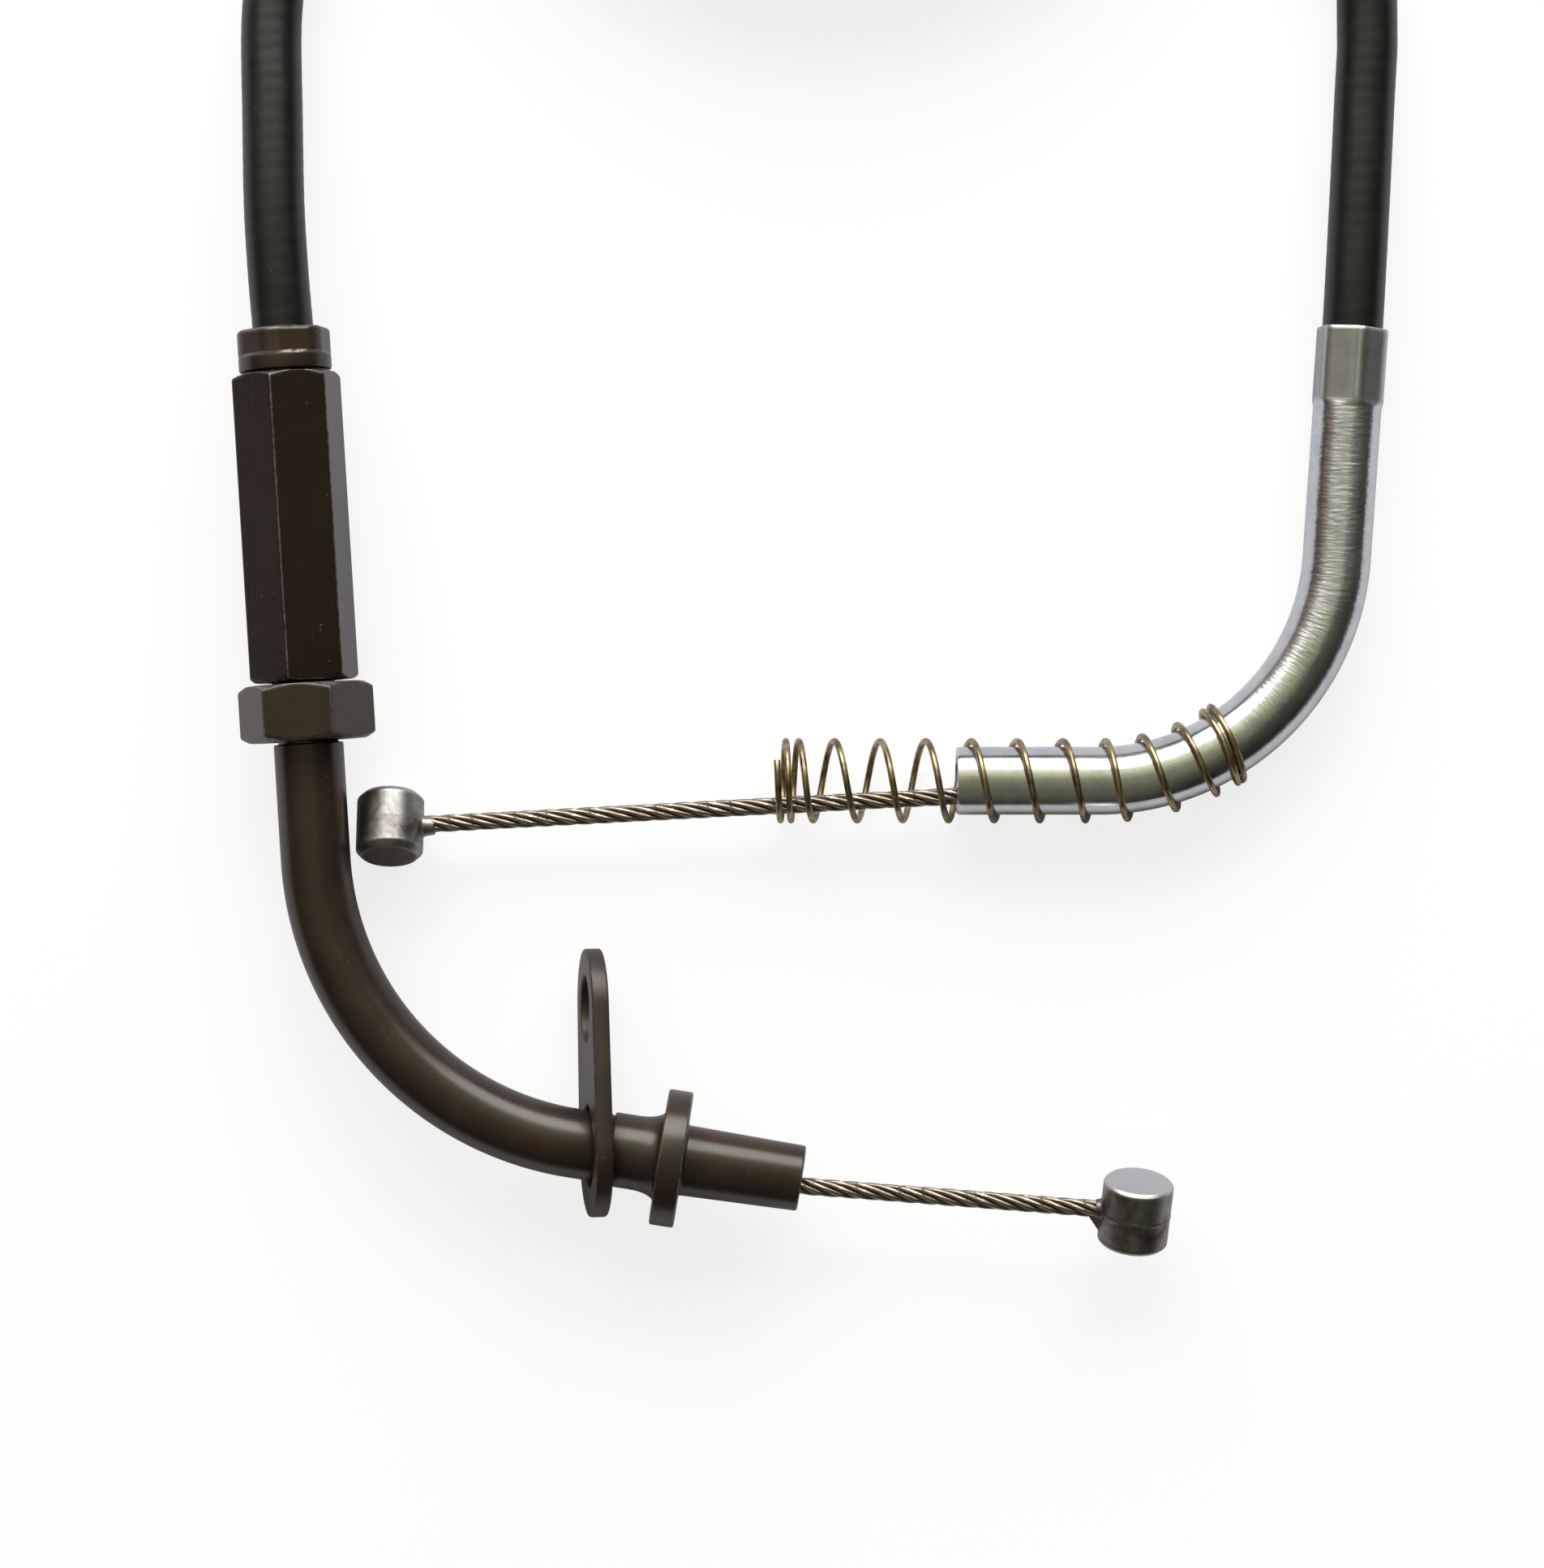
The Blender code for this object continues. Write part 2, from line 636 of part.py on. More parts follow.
def make_spring(material):
    """Return spring: a right-hand helix that starts in the open and follows the tube round its bend."""
    mean = BRIGHT_TUBE_RADIUS + SPRING_TUBE_GAP + SPRING_WIRE_RADIUS
    count = round(SPRING_TURNS * SPRING_STEPS)
    centres = []
    distance = -SPRING_OVERHANG
    for i in range(count + 1):
        turn = SPRING_TURNS * i / count
        point, heading = bright_at(distance)
        angle = SPRING_START - 2 * math.pi * turn
        up = Vector((0, 0, 1))
        centres.append(point + side_of(heading, mean * math.sin(angle)) + mean * math.cos(angle) * up)
        distance += spring_pitch(turn) * SPRING_TURNS / count
    rings = []
    for i, centre in enumerate(centres):
        axis = (centres[min(i + 1, count)] - centres[max(i - 1, 0)]).normalized()
        first = axis.cross(Vector((0, 0, 1)))
        if first.length < 0.3:
            first = axis.cross(Vector((0, 1, 0)))
        first.normalize()
        second = axis.cross(first)
        angles = [2 * math.pi * k / SPRING_SIDES for k in range(SPRING_SIDES)]
        round_wire = [math.cos(a) * first + math.sin(a) * second for a in angles]
        rings.append([centre + SPRING_WIRE_RADIUS * step for step in round_wire])
    spring = mesh_object("return_spring", loft(rings, closed=False), material)
    set_origin(spring, bright_at(0)[0])


def dark_wire_tail():
    """Wire inside the nozzle: what slides out, and what still guides it then."""
    return WIRE_TRAVEL + DARK_WIRE_GUIDE


def dark_wire_line():
    """The wire's own points: straight in the nozzle, a slight bend at its mouth, straight to the nipple."""
    mouth, heading = dark_at(nozzle_mouth())
    start = mouth + side_of(heading, -DARK_WIRE_DROP)
    into = Vector((math.cos(heading), math.sin(heading), 0))
    away = Vector((math.cos(DARK_WIRE_SLOPE), math.sin(DARK_WIRE_SLOPE), 0))
    bend = DARK_WIRE_BEND / 2
    points = [start - dark_wire_tail() * into, start - 2 * bend * into, start - bend * into]
    points += [start + bend * away, start + 2 * bend * away, start + DARK_WIRE_REACH * away]
    return start, away, points


def bright_wire_line():
    """The straight wire from inside the tube to its nipple."""
    mouth = bright_at(0)[0]
    start = mouth + side_of(0, -BRIGHT_WIRE_DROP)
    into = bright_wire_way()
    points = [start + BRIGHT_WIRE_TAIL * into, start, start - BRIGHT_WIRE_REACH * into]
    return start, -into, points


def hidden_wire(name, at, first, last, near, far, material):
    """The wire deep inside a tube, drawn to the inside of the bend away from its first end."""
    count = round((last - first) / (2 * HIDDEN_CHANGE / BEND_STEPS)) + 1
    points = []
    for i in range(count + 1):
        distance = first + (last - first) * i / count
        point, heading = at(distance)
        share = min((distance - first) / HIDDEN_CHANGE, 1)
        points.append(point + side_of(heading, near + (far - near) * share))
    rod(name, points, WIRE_RADIUS, 2, material)


def make_hidden_wires(material):
    def from_nozzle(distance):
        return dark_at(nozzle_mouth() - distance)

    inside = DARK_BORE_RADIUS - WIRE_RADIUS - HIDDEN_WALL_GAP
    first = dark_wire_tail() + HIDDEN_WIRE_GAP
    last = nozzle_mouth() - elbow_start() + HIDDEN_ABOVE_ELBOW
    hidden_wire("hidden_wire_dark", from_nozzle, first, last, -DARK_WIRE_DROP, inside, material)
    inside = BRIGHT_BORE_RADIUS - WIRE_RADIUS - HIDDEN_WALL_GAP
    first = BRIGHT_WIRE_TAIL + WIRE_TRAVEL + HIDDEN_WIRE_GAP
    last = sum(length for length, _ in bright_stretches()) - FACE_GAP
    hidden_wire("hidden_wire_bright", bright_at, first, last, -inside, inside, material)


def nipple(name, size, stub, hand, material):
    """A cast barrel along Z with a collar where the wire enters along X, from +X where hand is 1."""
    radius, length, chamfer = size
    stub_radius, stub_length = stub
    half = length / 2
    tip = radius + stub_length
    ends = [(radius - chamfer, -half), (radius, chamfer - half)]
    ends += [(radius, half - chamfer), (radius - chamfer, half)]
    barrel = mesh_object(name, solid_of_turning(ends, TURNED_SIDES), material)
    cone = [(stub_radius, 0), (stub_radius, radius), (NIPPLE_HOLE_RADIUS + FACE_GAP, tip)]
    collar = sideways(name + "_collar", cone, hand, barrel)
    hole = [(NIPPLE_HOLE_RADIUS, radius - NIPPLE_HOLE_DEPTH), (NIPPLE_HOLE_RADIUS, tip + radius)]
    drill = sideways(name + "_drill", hole, hand, barrel)
    combine(barrel, collar, "UNION")
    combine(barrel, drill, "DIFFERENCE")
    return barrel


def sideways(name, profile, hand, parent):
    """A turned cutter laid along X."""
    bm = solid_of_turning(profile, TUBE_SIDES)
    bmesh.ops.transform(bm, matrix=Matrix.Rotation(hand * math.radians(90), 4, "Y"), verts=bm.verts)
    return cutter(name, bm, parent)


def nipple_frame(centre, lean, tilt):
    """Barrel axis along Y, leaned in the plane of the surface, then tipped up at one end."""
    stand = Matrix.Rotation(math.radians(-90), 4, "X")
    tip = Matrix.Rotation(tilt, 4, "X")
    return Matrix.Translation(centre) @ Matrix.Rotation(-lean, 4, "Z") @ tip @ stand


def make_dark_wire(wire, zinc):
    start, away, points = dark_wire_line()
    rod("wire_dark", points, WIRE_RADIUS, 3, wire, start)
    size = (DARK_NIPPLE_RADIUS, DARK_NIPPLE_LENGTH, DARK_NIPPLE_CHAMFER)
    barrel = nipple("nipple_dark", size, (DARK_STUB_RADIUS, DARK_STUB_LENGTH), -1, zinc)
    centre = start + (DARK_WIRE_REACH + nipple_seat(DARK_NIPPLE_RADIUS)) * away
    barrel.matrix_world = nipple_frame(centre, DARK_NIPPLE_LEAN, DARK_NIPPLE_TILT)


def make_bright_wire(wire, zinc):
    start, away, points = bright_wire_line()
    rod("wire_bright", points, WIRE_RADIUS, 3, wire, start)
    size = (BRIGHT_NIPPLE_RADIUS, BRIGHT_NIPPLE_LENGTH, BRIGHT_NIPPLE_CHAMFER)
    barrel = nipple("nipple_bright", size, (BRIGHT_STUB_RADIUS, BRIGHT_STUB_LENGTH), 1, zinc)
    centre = start + (BRIGHT_WIRE_REACH + nipple_seat(BRIGHT_NIPPLE_RADIUS)) * away
    barrel.matrix_world = nipple_frame(centre, BRIGHT_NIPPLE_LEAN, BRIGHT_NIPPLE_TILT)


def nipple_seat(radius):
    """Distance from the wire's end to the barrel's middle."""
    return radius - NIPPLE_HOLE_DEPTH + RUNNING_GAP


def rounded_section(grow):
    """The coil's section as (radius, height) points, grown by a distance all round."""
    half = COIL_ROWS * CASING_RADIUS + grow
    corner = CASING_RADIUS + grow
    middle = coil_base() + COIL_ROWS * CASING_RADIUS
    points = []
    for quarter in range(4):
        for i in range(CORNER_STEPS + 1):
            angle = math.radians(90) * (quarter + i / CORNER_STEPS)
            side = math.radians(90) * quarter + math.radians(45)
            out = math.copysign(half - corner, math.cos(side)) + corner * math.cos(angle)
            high = math.copysign(half - corner, math.sin(side)) + corner * math.sin(angle)
            points.append((COIL_MEAN_RADIUS + out, middle + high))
    return points


def coil_base():
    return TIE_THICKNESS + RUNNING_GAP


def make_coil(material):
    """The outer shape of the coiled casing: turns beside and on each other."""
    coil = mesh_object("casing_coil", turned_body(rounded_section(0), COIL_STEPS), material)
    coil.location = (*COIL_CENTRE, 0)


def make_tie(name, angle, material):
    """A flat band round the coil's section."""
    half = TIE_WIDTH / 2
    inner = rounded_section(RUNNING_GAP)
    outer = rounded_section(RUNNING_GAP + TIE_THICKNESS)

    def ring(section, across):
        return [Vector((radius, across, height)) for radius, height in section]

    rings = [ring(outer, -half), ring(outer, half), ring(inner, half), ring(inner, -half)]
    tie = mesh_object(name, loft(rings, closed=True), material)
    tie.location = (*COIL_CENTRE, 0)
    tie.rotation_euler.z = angle


def make_casing_run(name, route, material):
    points = smooth_points([Vector(p) * MM for p in route], ROUTE_STEP)
    rod(name, points, CASING_RADIUS, 3, material)


def build():
    clear_scene()
    sheath = finish("black_sheath", (0.024, 0.024, 0.022), 0.0, 0.45)
    tie_plastic = finish("black_tie", (0.02, 0.02, 0.02), 0.0, 0.4)
    dark_steel = finish("blackened_steel", (0.045, 0.036, 0.028), 0.9, 0.4)
    bright_steel = finish("bright_plated_steel", (0.55, 0.57, 0.56), 1.0, 0.28)
    spring_steel = finish("gold_plated_spring", (0.55, 0.38, 0.14), 1.0, 0.35)
    wire_steel = finish("stranded_steel", (0.38, 0.33, 0.29), 1.0, 0.4)
    zinc = finish("cast_zinc", (0.38, 0.39, 0.4), 1.0, 0.45)
    make_ferrule(dark_steel)
    make_sleeve(dark_steel)
    make_nut(dark_steel)
    make_dark_elbow(dark_steel)
    make_end_fitting(dark_steel)
    make_clamp_plate(dark_steel)
    make_bright_elbow(bright_steel)
    make_spring(spring_steel)
    make_dark_wire(wire_steel, zinc)
    make_bright_wire(wire_steel, zinc)
    make_hidden_wires(wire_steel)
    make_coil(sheath)
    for i, angle in enumerate(TIE_ANGLES):
        make_tie(f"coil_tie_{i + 1}", angle, tie_plastic)
    make_casing_run("casing_run_dark", DARK_ROUTE, sheath)
    make_casing_run("casing_run_bright", BRIGHT_ROUTE, sheath)


build()
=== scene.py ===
# %% [markdown]
# # Dressing a choke cable
#
# The CAD model says where every piece of this cable lies and how it moves. This notebook gives each
# piece the surface that it really has: rolled threads, twisted strands, a ribbed cover, blackened and
# plated steel. It never moves the CAD. It loads it first, and builds finer pieces over its solids.

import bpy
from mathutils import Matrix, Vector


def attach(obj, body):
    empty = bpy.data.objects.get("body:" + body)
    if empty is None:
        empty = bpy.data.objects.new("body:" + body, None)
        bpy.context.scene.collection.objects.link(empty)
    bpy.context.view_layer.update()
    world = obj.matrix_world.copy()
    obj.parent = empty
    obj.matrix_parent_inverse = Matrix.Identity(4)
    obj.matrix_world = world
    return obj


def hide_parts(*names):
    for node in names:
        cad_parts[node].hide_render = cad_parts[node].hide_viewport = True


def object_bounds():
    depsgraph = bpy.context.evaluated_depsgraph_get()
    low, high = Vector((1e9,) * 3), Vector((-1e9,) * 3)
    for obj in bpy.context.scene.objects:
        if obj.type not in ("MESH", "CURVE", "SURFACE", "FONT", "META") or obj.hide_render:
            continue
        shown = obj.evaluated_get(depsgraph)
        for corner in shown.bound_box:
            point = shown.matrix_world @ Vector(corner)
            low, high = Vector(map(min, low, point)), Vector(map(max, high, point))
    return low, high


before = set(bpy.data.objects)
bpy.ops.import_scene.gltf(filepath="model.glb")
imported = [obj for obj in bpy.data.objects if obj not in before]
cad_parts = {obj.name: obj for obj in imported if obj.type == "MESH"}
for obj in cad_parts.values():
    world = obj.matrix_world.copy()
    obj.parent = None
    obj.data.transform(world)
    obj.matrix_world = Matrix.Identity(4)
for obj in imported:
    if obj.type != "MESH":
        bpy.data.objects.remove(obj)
cad_low, cad_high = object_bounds()
print("CAD box in mm:", [round(1000 * v, 2) for v in (*cad_low, *cad_high)])

# %% [markdown]
# ## The camera
#
# The real cable was photographed from straight above, lying on a white sheet. Its casing is just as
# wide at the top of the picture as near the metal, so the lens was a long one. A 100 mm lens on a
# 36 mm sensor does that. The distance follows from how many pixels a millimetre takes up.

# %% Camera
import math

import bpy
import numpy as np
from mathutils import Matrix, Vector

MM = 0.001
IMAGE_HEIGHT = 1933
PIXELS_PER_MM = 14.4
LENS, SENSOR = 100.0, 36.0
VIEW_CENTRE = (-3.4, 0.62)
AXIS_HEIGHT = 5.0

camera_distance = LENS * IMAGE_HEIGHT / (SENSOR * PIXELS_PER_MM)
camera = bpy.data.objects.new("camera", bpy.data.cameras.new("camera"))
camera.data.lens = LENS
camera.data.sensor_width = SENSOR
camera.data.clip_start = 0.01
camera.location = Vector((*VIEW_CENTRE, AXIS_HEIGHT + camera_distance)) * MM
bpy.context.scene.collection.objects.link(camera)
bpy.context.scene.camera = camera
print("camera height in mm:", round(AXIS_HEIGHT + camera_distance, 1))

# %% [markdown]
# ## The casing's way
#
# The casing is one length of about 0.8 m from the ferrule to the crimp. The photograph shows only its
# two ends, so the rest is put away as for storage, in a coil of three and a half turns just outside
# the view. A coil could be drawn as a spiral, but then its turns would run through each other where
# they change layer. Here each turn keeps to its own track and moves over to the next one in its own
# sixth of the circle, so that the turns lie beside and on each other.

# %% Points of the casing's way
CASING_RADIUS = 2.6
DARK_RUN = [
    (-44.98, 36.72, 6.1), (-45.15, 39.41, 6.1), (-45.55, 44, 6.05), (-45.95, 50, 5.7),
    (-46.2, 58, 4.8), (-46.4, 66, 3.7), (-45.84, 71.25, 3.05), (-44.25, 76.5, 2.75),
    (-41.86, 81.75, 2.7), (-39.05, 87, 2.7), (-36.58, 91.6, 2.8), (-34.62, 95.75, 3),
    (-32.75, 101.4, 3.3),
]
BRIGHT_RUN = [
    (46.27, 37.2, 4.1), (46.45, 39.95, 4.1), (46.72, 44.5, 4.02), (47.1, 51, 3.7),
    (47.55, 59, 3.2), (47.95, 67, 2.8), (47.45, 72.1, 2.7), (45.9, 77.25, 2.75),
    (43.5, 82.4, 3), (40.75, 87.5, 3.6), (38.52, 91.6, 4.45), (36.46, 95.8, 5.8),
    (34.6, 101.8, 8.1),
]
COIL_CENTRE = (0.9, 108.0)
TRACKS = [(32.625, 3.525), (27.375, 3.525), (27.375, 8.775), (32.625, 8.775)]
TURNS = 3.5


def eased_share(share):
    """From 0 to 1 with an even bend first one way and then the other."""
    return 2 * share**2 if share < 0.5 else 1 - 2 * (1 - share) ** 2


def coil_point(turned):
    """A point of the coil after so many degrees, clockwise from its left side."""
    lap = int(turned // 360)
    change_starts = 180 + 60 * (2 - lap)
    share = min(max((turned - 360 * lap - change_starts) / 60, 0), 1)
    (r0, z0), (r1, z1) = TRACKS[lap], TRACKS[min(lap + 1, 3)]
    radius, height = (a + (b - a) * eased_share(share) for a, b in ((r0, r1), (z0, z1)))
    angle = math.radians(180 - turned)
    return COIL_CENTRE[0] + radius * math.cos(angle), COIL_CENTRE[1] + radius * math.sin(angle), height


coil = [coil_point(turned) for turned in range(0, int(360 * TURNS) + 1, 10)]
casing_route = np.array(DARK_RUN + coil + BRIGHT_RUN[::-1])
print("points on the casing's way:", len(casing_route))

# %% [markdown]
# ## One smooth line through the points
#
# Blender's curve objects could draw the casing, but the ribs of the wound steel under its cover need
# rings at an even spacing. So the line is worked out here: a curve that passes through every point,
# cut into equal steps. Directions across the line are carried along it without twisting, and serve
# for every long thin piece of the cable.

# %% Lines and the directions across them
def smooth_line(points, step):
    """Evenly spaced points, about a step apart, on a smooth curve through the given ones."""
    points = np.asarray(points, float)
    ends = 2 * points[[0, -1]] - points[[1, -2]]
    a, b, c, d = (np.vstack([ends[:1], points, ends[1:]])[i:][: len(points) - 1] for i in range(4))
    t = np.linspace(0, 1, 40, endpoint=False)[None, :, None]
    a, b, c, d = (p[:, None] for p in (a, b, c, d))
    curve = (2 * b + (c - a) * t + (2 * a - 5 * b + 4 * c - d) * t**2 + (3 * b - a - 3 * c + d) * t**3) / 2
    curve = np.vstack([curve.reshape(-1, 3), points[-1:]])
    travelled = np.r_[0, np.cumsum(np.linalg.norm(np.diff(curve, axis=0), axis=1))]
    even = np.linspace(0, travelled[-1], max(2, round(travelled[-1] / step)) + 1)
    return np.stack([np.interp(even, travelled, curve[:, k]) for k in range(3)], axis=1), even


def across(line):
    """Two directions square to a line at each of its points, which don't twist along it."""
    along = np.gradient(line, axis=0)
    along /= np.linalg.norm(along, axis=1)[:, None]
    first = np.cross(along[0], (0, 0, 1))
    if np.linalg.norm(first) < 0.3:
        first = np.cross(along[0], (0, 1, 0))
    firsts = []
    for direction in along:
        first = first - direction * first.dot(direction)
        first = first / np.linalg.norm(first)
        firsts.append(first)
    return np.array(firsts), np.cross(along, firsts)


# %% [markdown]
# ## Skins
#
# Every piece here is a skin over rings of points, because turned, bent and twisted work all has
# rings. Each point also keeps two facts for the materials: where it would be if the piece were
# straightened out, in millimetres, and how exposed to wear it is. With these a finish can follow a
# bent tube without any unwrapping, so brushed lines run along it and edges show bare metal.

# %% Build a piece from skins
SHARP_ANGLE = math.radians(42)


def carry(mesh, lay, wear):
    """Keeps each point's straightened position and wear on the mesh, for the materials."""
    mesh.attributes.new("lay", "FLOAT_VECTOR", "POINT").data.foreach_set("vector", np.ravel(lay))
    mesh.attributes.new("wear", "FLOAT", "POINT").data.foreach_set("value", np.ravel(wear))


def dress(name, mesh, body, replaces):
    """A piece of that mesh, which rides on a body and is seen in place of the CAD's nodes."""
    mesh.shade_smooth()
    mesh.set_sharp_from_angle(angle=SHARP_ANGLE)
    piece = bpy.data.objects.new(name, mesh)
    bpy.context.scene.collection.objects.link(piece)
    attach(piece, body)
    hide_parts(*replaces)
    return piece


def make_piece(name, skins, body, replaces):
    """A mesh from skins of (points, straightened points, wear, closed), all in millimetres."""
    points, lays, wears, faces, count = [], [], [], [], 0
    for rings, lay, wear, closed in skins:
        rows, sides = rings.shape[:2]
        index = count + np.arange(rows * sides).reshape(rows, sides)
        lower, upper = (index, np.roll(index, -1, 0)) if closed else (index[:-1], index[1:])
        quads = np.stack([lower, np.roll(lower, -1, 1), np.roll(upper, -1, 1), upper], -1)
        faces += quads.reshape(-1, 4).tolist()
        if not closed:
            faces += [index[0][::-1].tolist(), index[-1].tolist()]
        points.append(rings.reshape(-1, 3))
        lays.append(np.broadcast_to(lay, rings.shape).reshape(-1, 3))
        wears.append(np.broadcast_to(wear, (rows, sides)).ravel())
        count += rows * sides
    points = np.vstack(points)
    mesh = bpy.data.meshes.new(name)
    mesh.from_pydata((points * MM).tolist(), [], faces)
    corners = points[np.array([f[:3] for f in faces])]
    if np.einsum("ij,ij->", corners[:, 0], np.cross(corners[:, 1], corners[:, 2])) < 0:
        mesh.flip_normals()
    carry(mesh, np.vstack(lays), np.concatenate(wears))
    print(name, "has", sum(len(f) - 2 for f in faces), "triangles")
    return dress(name, mesh, body, replaces)


def round_skin(line, radius, sides, distance=None):
    """A skin round a line. The radius may be one number or one for each point of each ring."""
    turn = 2 * np.pi * np.arange(sides) / sides
    first, second = across(line)
    spokes = np.cos(turn)[None, :, None] * first[:, None] + np.sin(turn)[None, :, None] * second[:, None]
    radius = np.broadcast_to(radius, (len(line), sides))[..., None]
    if distance is None:
        distance = np.r_[0, np.cumsum(np.linalg.norm(np.diff(line, axis=0), axis=1))]
    flat = np.stack([np.cos(turn) + 0 * distance[:, None], np.sin(turn) + 0 * distance[:, None]], -1)
    lay = np.concatenate([radius * flat, np.broadcast_to(distance[:, None, None], radius.shape)], -1)
    return line[:, None] + radius * spokes, lay


# %% [markdown]
# ## The casing
#
# Under the black plastic cover lies a steel strip, wound like a spring, and the cover shrinks on it
# as it cools, which leaves faint ribs. They could be a bump in the material, but then the outline
# would stay dead straight. The ribs here are in the mesh: a swell of six thousandths of a millimetre
# that winds round the casing every 1.3 mm. The solid's facets cut the corner of the last bend by a
# tenth of a millimetre, and the line is held inside them.

# %% Casing
RIB_PITCH, RIB_HEIGHT, RIB_STEPS, CASING_SIDES = 1.3, 0.006, 4, 24
LEEWAY = 0.01
casing_line, casing_distance = smooth_line(casing_route, RIB_PITCH / RIB_STEPS)
outermost = cad_high[0] / MM - CASING_RADIUS - RIB_HEIGHT - LEEWAY
casing_line[:, 0] = np.minimum(casing_line[:, 0], outermost)
ring_turn = 2 * np.pi * np.arange(CASING_SIDES) / CASING_SIDES
ribs = RIB_HEIGHT * np.cos(2 * np.pi * casing_distance[:, None] / RIB_PITCH - ring_turn[None, :])
casing_skin, casing_lay = round_skin(casing_line, CASING_RADIUS + ribs, CASING_SIDES, casing_distance)
casing_nodes = ["casing_run_dark", "casing_coil", "casing_run_bright"]
casing = make_piece("casing", [(casing_skin, casing_lay, 0.0, False)], "casing", casing_nodes)
print("casing length in mm:", round(casing_distance[-1], 1))

# %% [markdown]
# ## Tubes and turned work
#
# The dark end lies on one line: straight through the adjuster, round a bend and straight again. The
# bright end has a line of its own. Each is worked out from how long its stretches are and how much
# they bend, so that any distance along it gives a point there and the way it heads.

# %% Lines of the two metal ends
def walk(start, heading, stretches, distance):
    """Points and headings at distances along stretches of (length, curvature)."""
    left = np.asarray(distance, float)
    point = np.stack([np.full(left.shape, float(v)) for v in start], -1)
    heading = np.full(left.shape, float(heading))
    for length, curvature in [*stretches, (np.inf, 0)]:
        step = np.minimum(left, length)
        turn = step * curvature
        chord = 2 * np.sin(turn / 2) / curvature if curvature else step
        middle = heading + turn / 2
        point = point + np.stack([chord * np.cos(middle), chord * np.sin(middle), 0 * chord], -1)
        heading = heading + turn
        left = left - step
    return point, heading


DARK_START, DARK_HEADING = (-45.15, 39.41, 6.0969), math.radians(-86.47)
DARK_ABOVE, DARK_BEND_RADIUS, DARK_BEND = 45.35, 26.1, math.radians(77.67)
DARK_BEND_END = DARK_ABOVE + DARK_BEND_RADIUS * DARK_BEND
DARK_MOUTH = DARK_BEND_END + 19.65
BRIGHT_START = (12.43, 0.9034, 4.1)
BRIGHT_LEAD, BRIGHT_BEND_RADIUS, BRIGHT_BEND, BRIGHT_BEYOND = 12.19, 20.5, math.radians(86), 19.75
BRIGHT_END = BRIGHT_LEAD + BRIGHT_BEND_RADIUS * BRIGHT_BEND + BRIGHT_BEYOND


def dark(distance):
    """The dark end's line, measured from the ferrule's mouth."""
    stretches = [(DARK_ABOVE, 0), (DARK_BEND_RADIUS * DARK_BEND, 1 / DARK_BEND_RADIUS)]
    return walk(DARK_START, DARK_HEADING, stretches, distance)


def bright(distance):
    """The bright end's line, measured from the tube's mouth."""
    stretches = [(BRIGHT_LEAD, 0), (BRIGHT_BEND_RADIUS * BRIGHT_BEND, 1 / BRIGHT_BEND_RADIUS)]
    return walk(BRIGHT_START, 0, stretches, distance)


print("dark mouth in mm:", dark(DARK_MOUTH)[0].round(2), "bright end:", bright(BRIGHT_END)[0].round(2))

# %% [markdown]
# ## Outlines, eased and spun
#
# A turned piece is given by its outline, as distances along such a line and radii, and it is spun
# round the line. Each corner of an outline is eased, as a deburred edge is, and the outward corners
# are marked as worn.

# %% Ease an outline and spin it
def eased(outline, ease):
    """A closed outline of (distance, radius) with eased corners, and the wear at each of its points."""
    outline = [np.array(p, float) for p in outline]
    area = sum(p[0] * q[1] - q[0] * p[1] for p, q in zip(outline, outline[1:] + outline[:1]))
    points, wear = [], []
    for before, corner, after in zip(outline[-1:] + outline[:-1], outline, outline[1:] + outline[:1]):
        back, on = before - corner, after - corner
        size = min(ease, 0.4 * np.linalg.norm(back), 0.4 * np.linalg.norm(on))
        back, on = (side / np.linalg.norm(side) for side in (back, on))
        bend = back[0] * on[1] - back[1] * on[0]
        if abs(bend) < 0.09:
            points.append(corner)
            wear.append(0)
            continue
        outward = bend * area < 0
        for share in (0, 0.33, 0.67, 1):
            points.append(corner + size * (back * (1 - share) ** 2 + on * share**2))
            wear.append((1.0 if 0 < share < 1 else 0.45) if outward else 0)
    return np.array(points), np.array(wear, float)


def spun(at, distance, radius, turn):
    """Rings round a line, and the same rings with the line straightened out."""
    point, heading = at(distance)
    left = np.stack([-np.sin(heading), np.cos(heading), 0 * heading], -1)
    aside, high = radius * np.cos(turn), radius * np.sin(turn)
    rings = point + aside[..., None] * left + high[..., None] * np.array((0, 0, 1.0))
    return rings, np.stack(np.broadcast_arrays(aside, high, distance), -1)


def row_skin(at, rows, turn):
    """A closed skin over rows of (distance, radius, wear), each one number or one for each turn."""
    distance, radius, wear = (np.array([row[k] + 0 * turn for row in rows]) for k in range(3))
    rings, lay = spun(at, distance, radius, turn[None])
    return rings, lay, wear, True


def turned_skin(at, outline, sides, ease):
    """A skin of turning with eased corners."""
    profile, wear = eased(outline, ease)
    rows = [(z, r, w) for (z, r), w in zip(profile, wear)]
    return row_skin(at, rows, 2 * np.pi * np.arange(sides) / sides)


# %% [markdown]
# ## Hexagonal work
#
# The adjuster sleeve and the lock nut are parted off from hexagonal bar and chamfered in the lathe,
# which is why each flat ends in an arc. A boolean of a prism with a cone gives these arcs too, but it
# leaves razor edges. Here every point round the bar knows how far out its flat or corner lies, and
# the chamfer meets it exactly there, so the arcs come out true and every edge is eased.

# %% Hexagonal bar
CORNER_EASE, END_EASE, BORE_EASE = 0.28, 0.1, 0.3


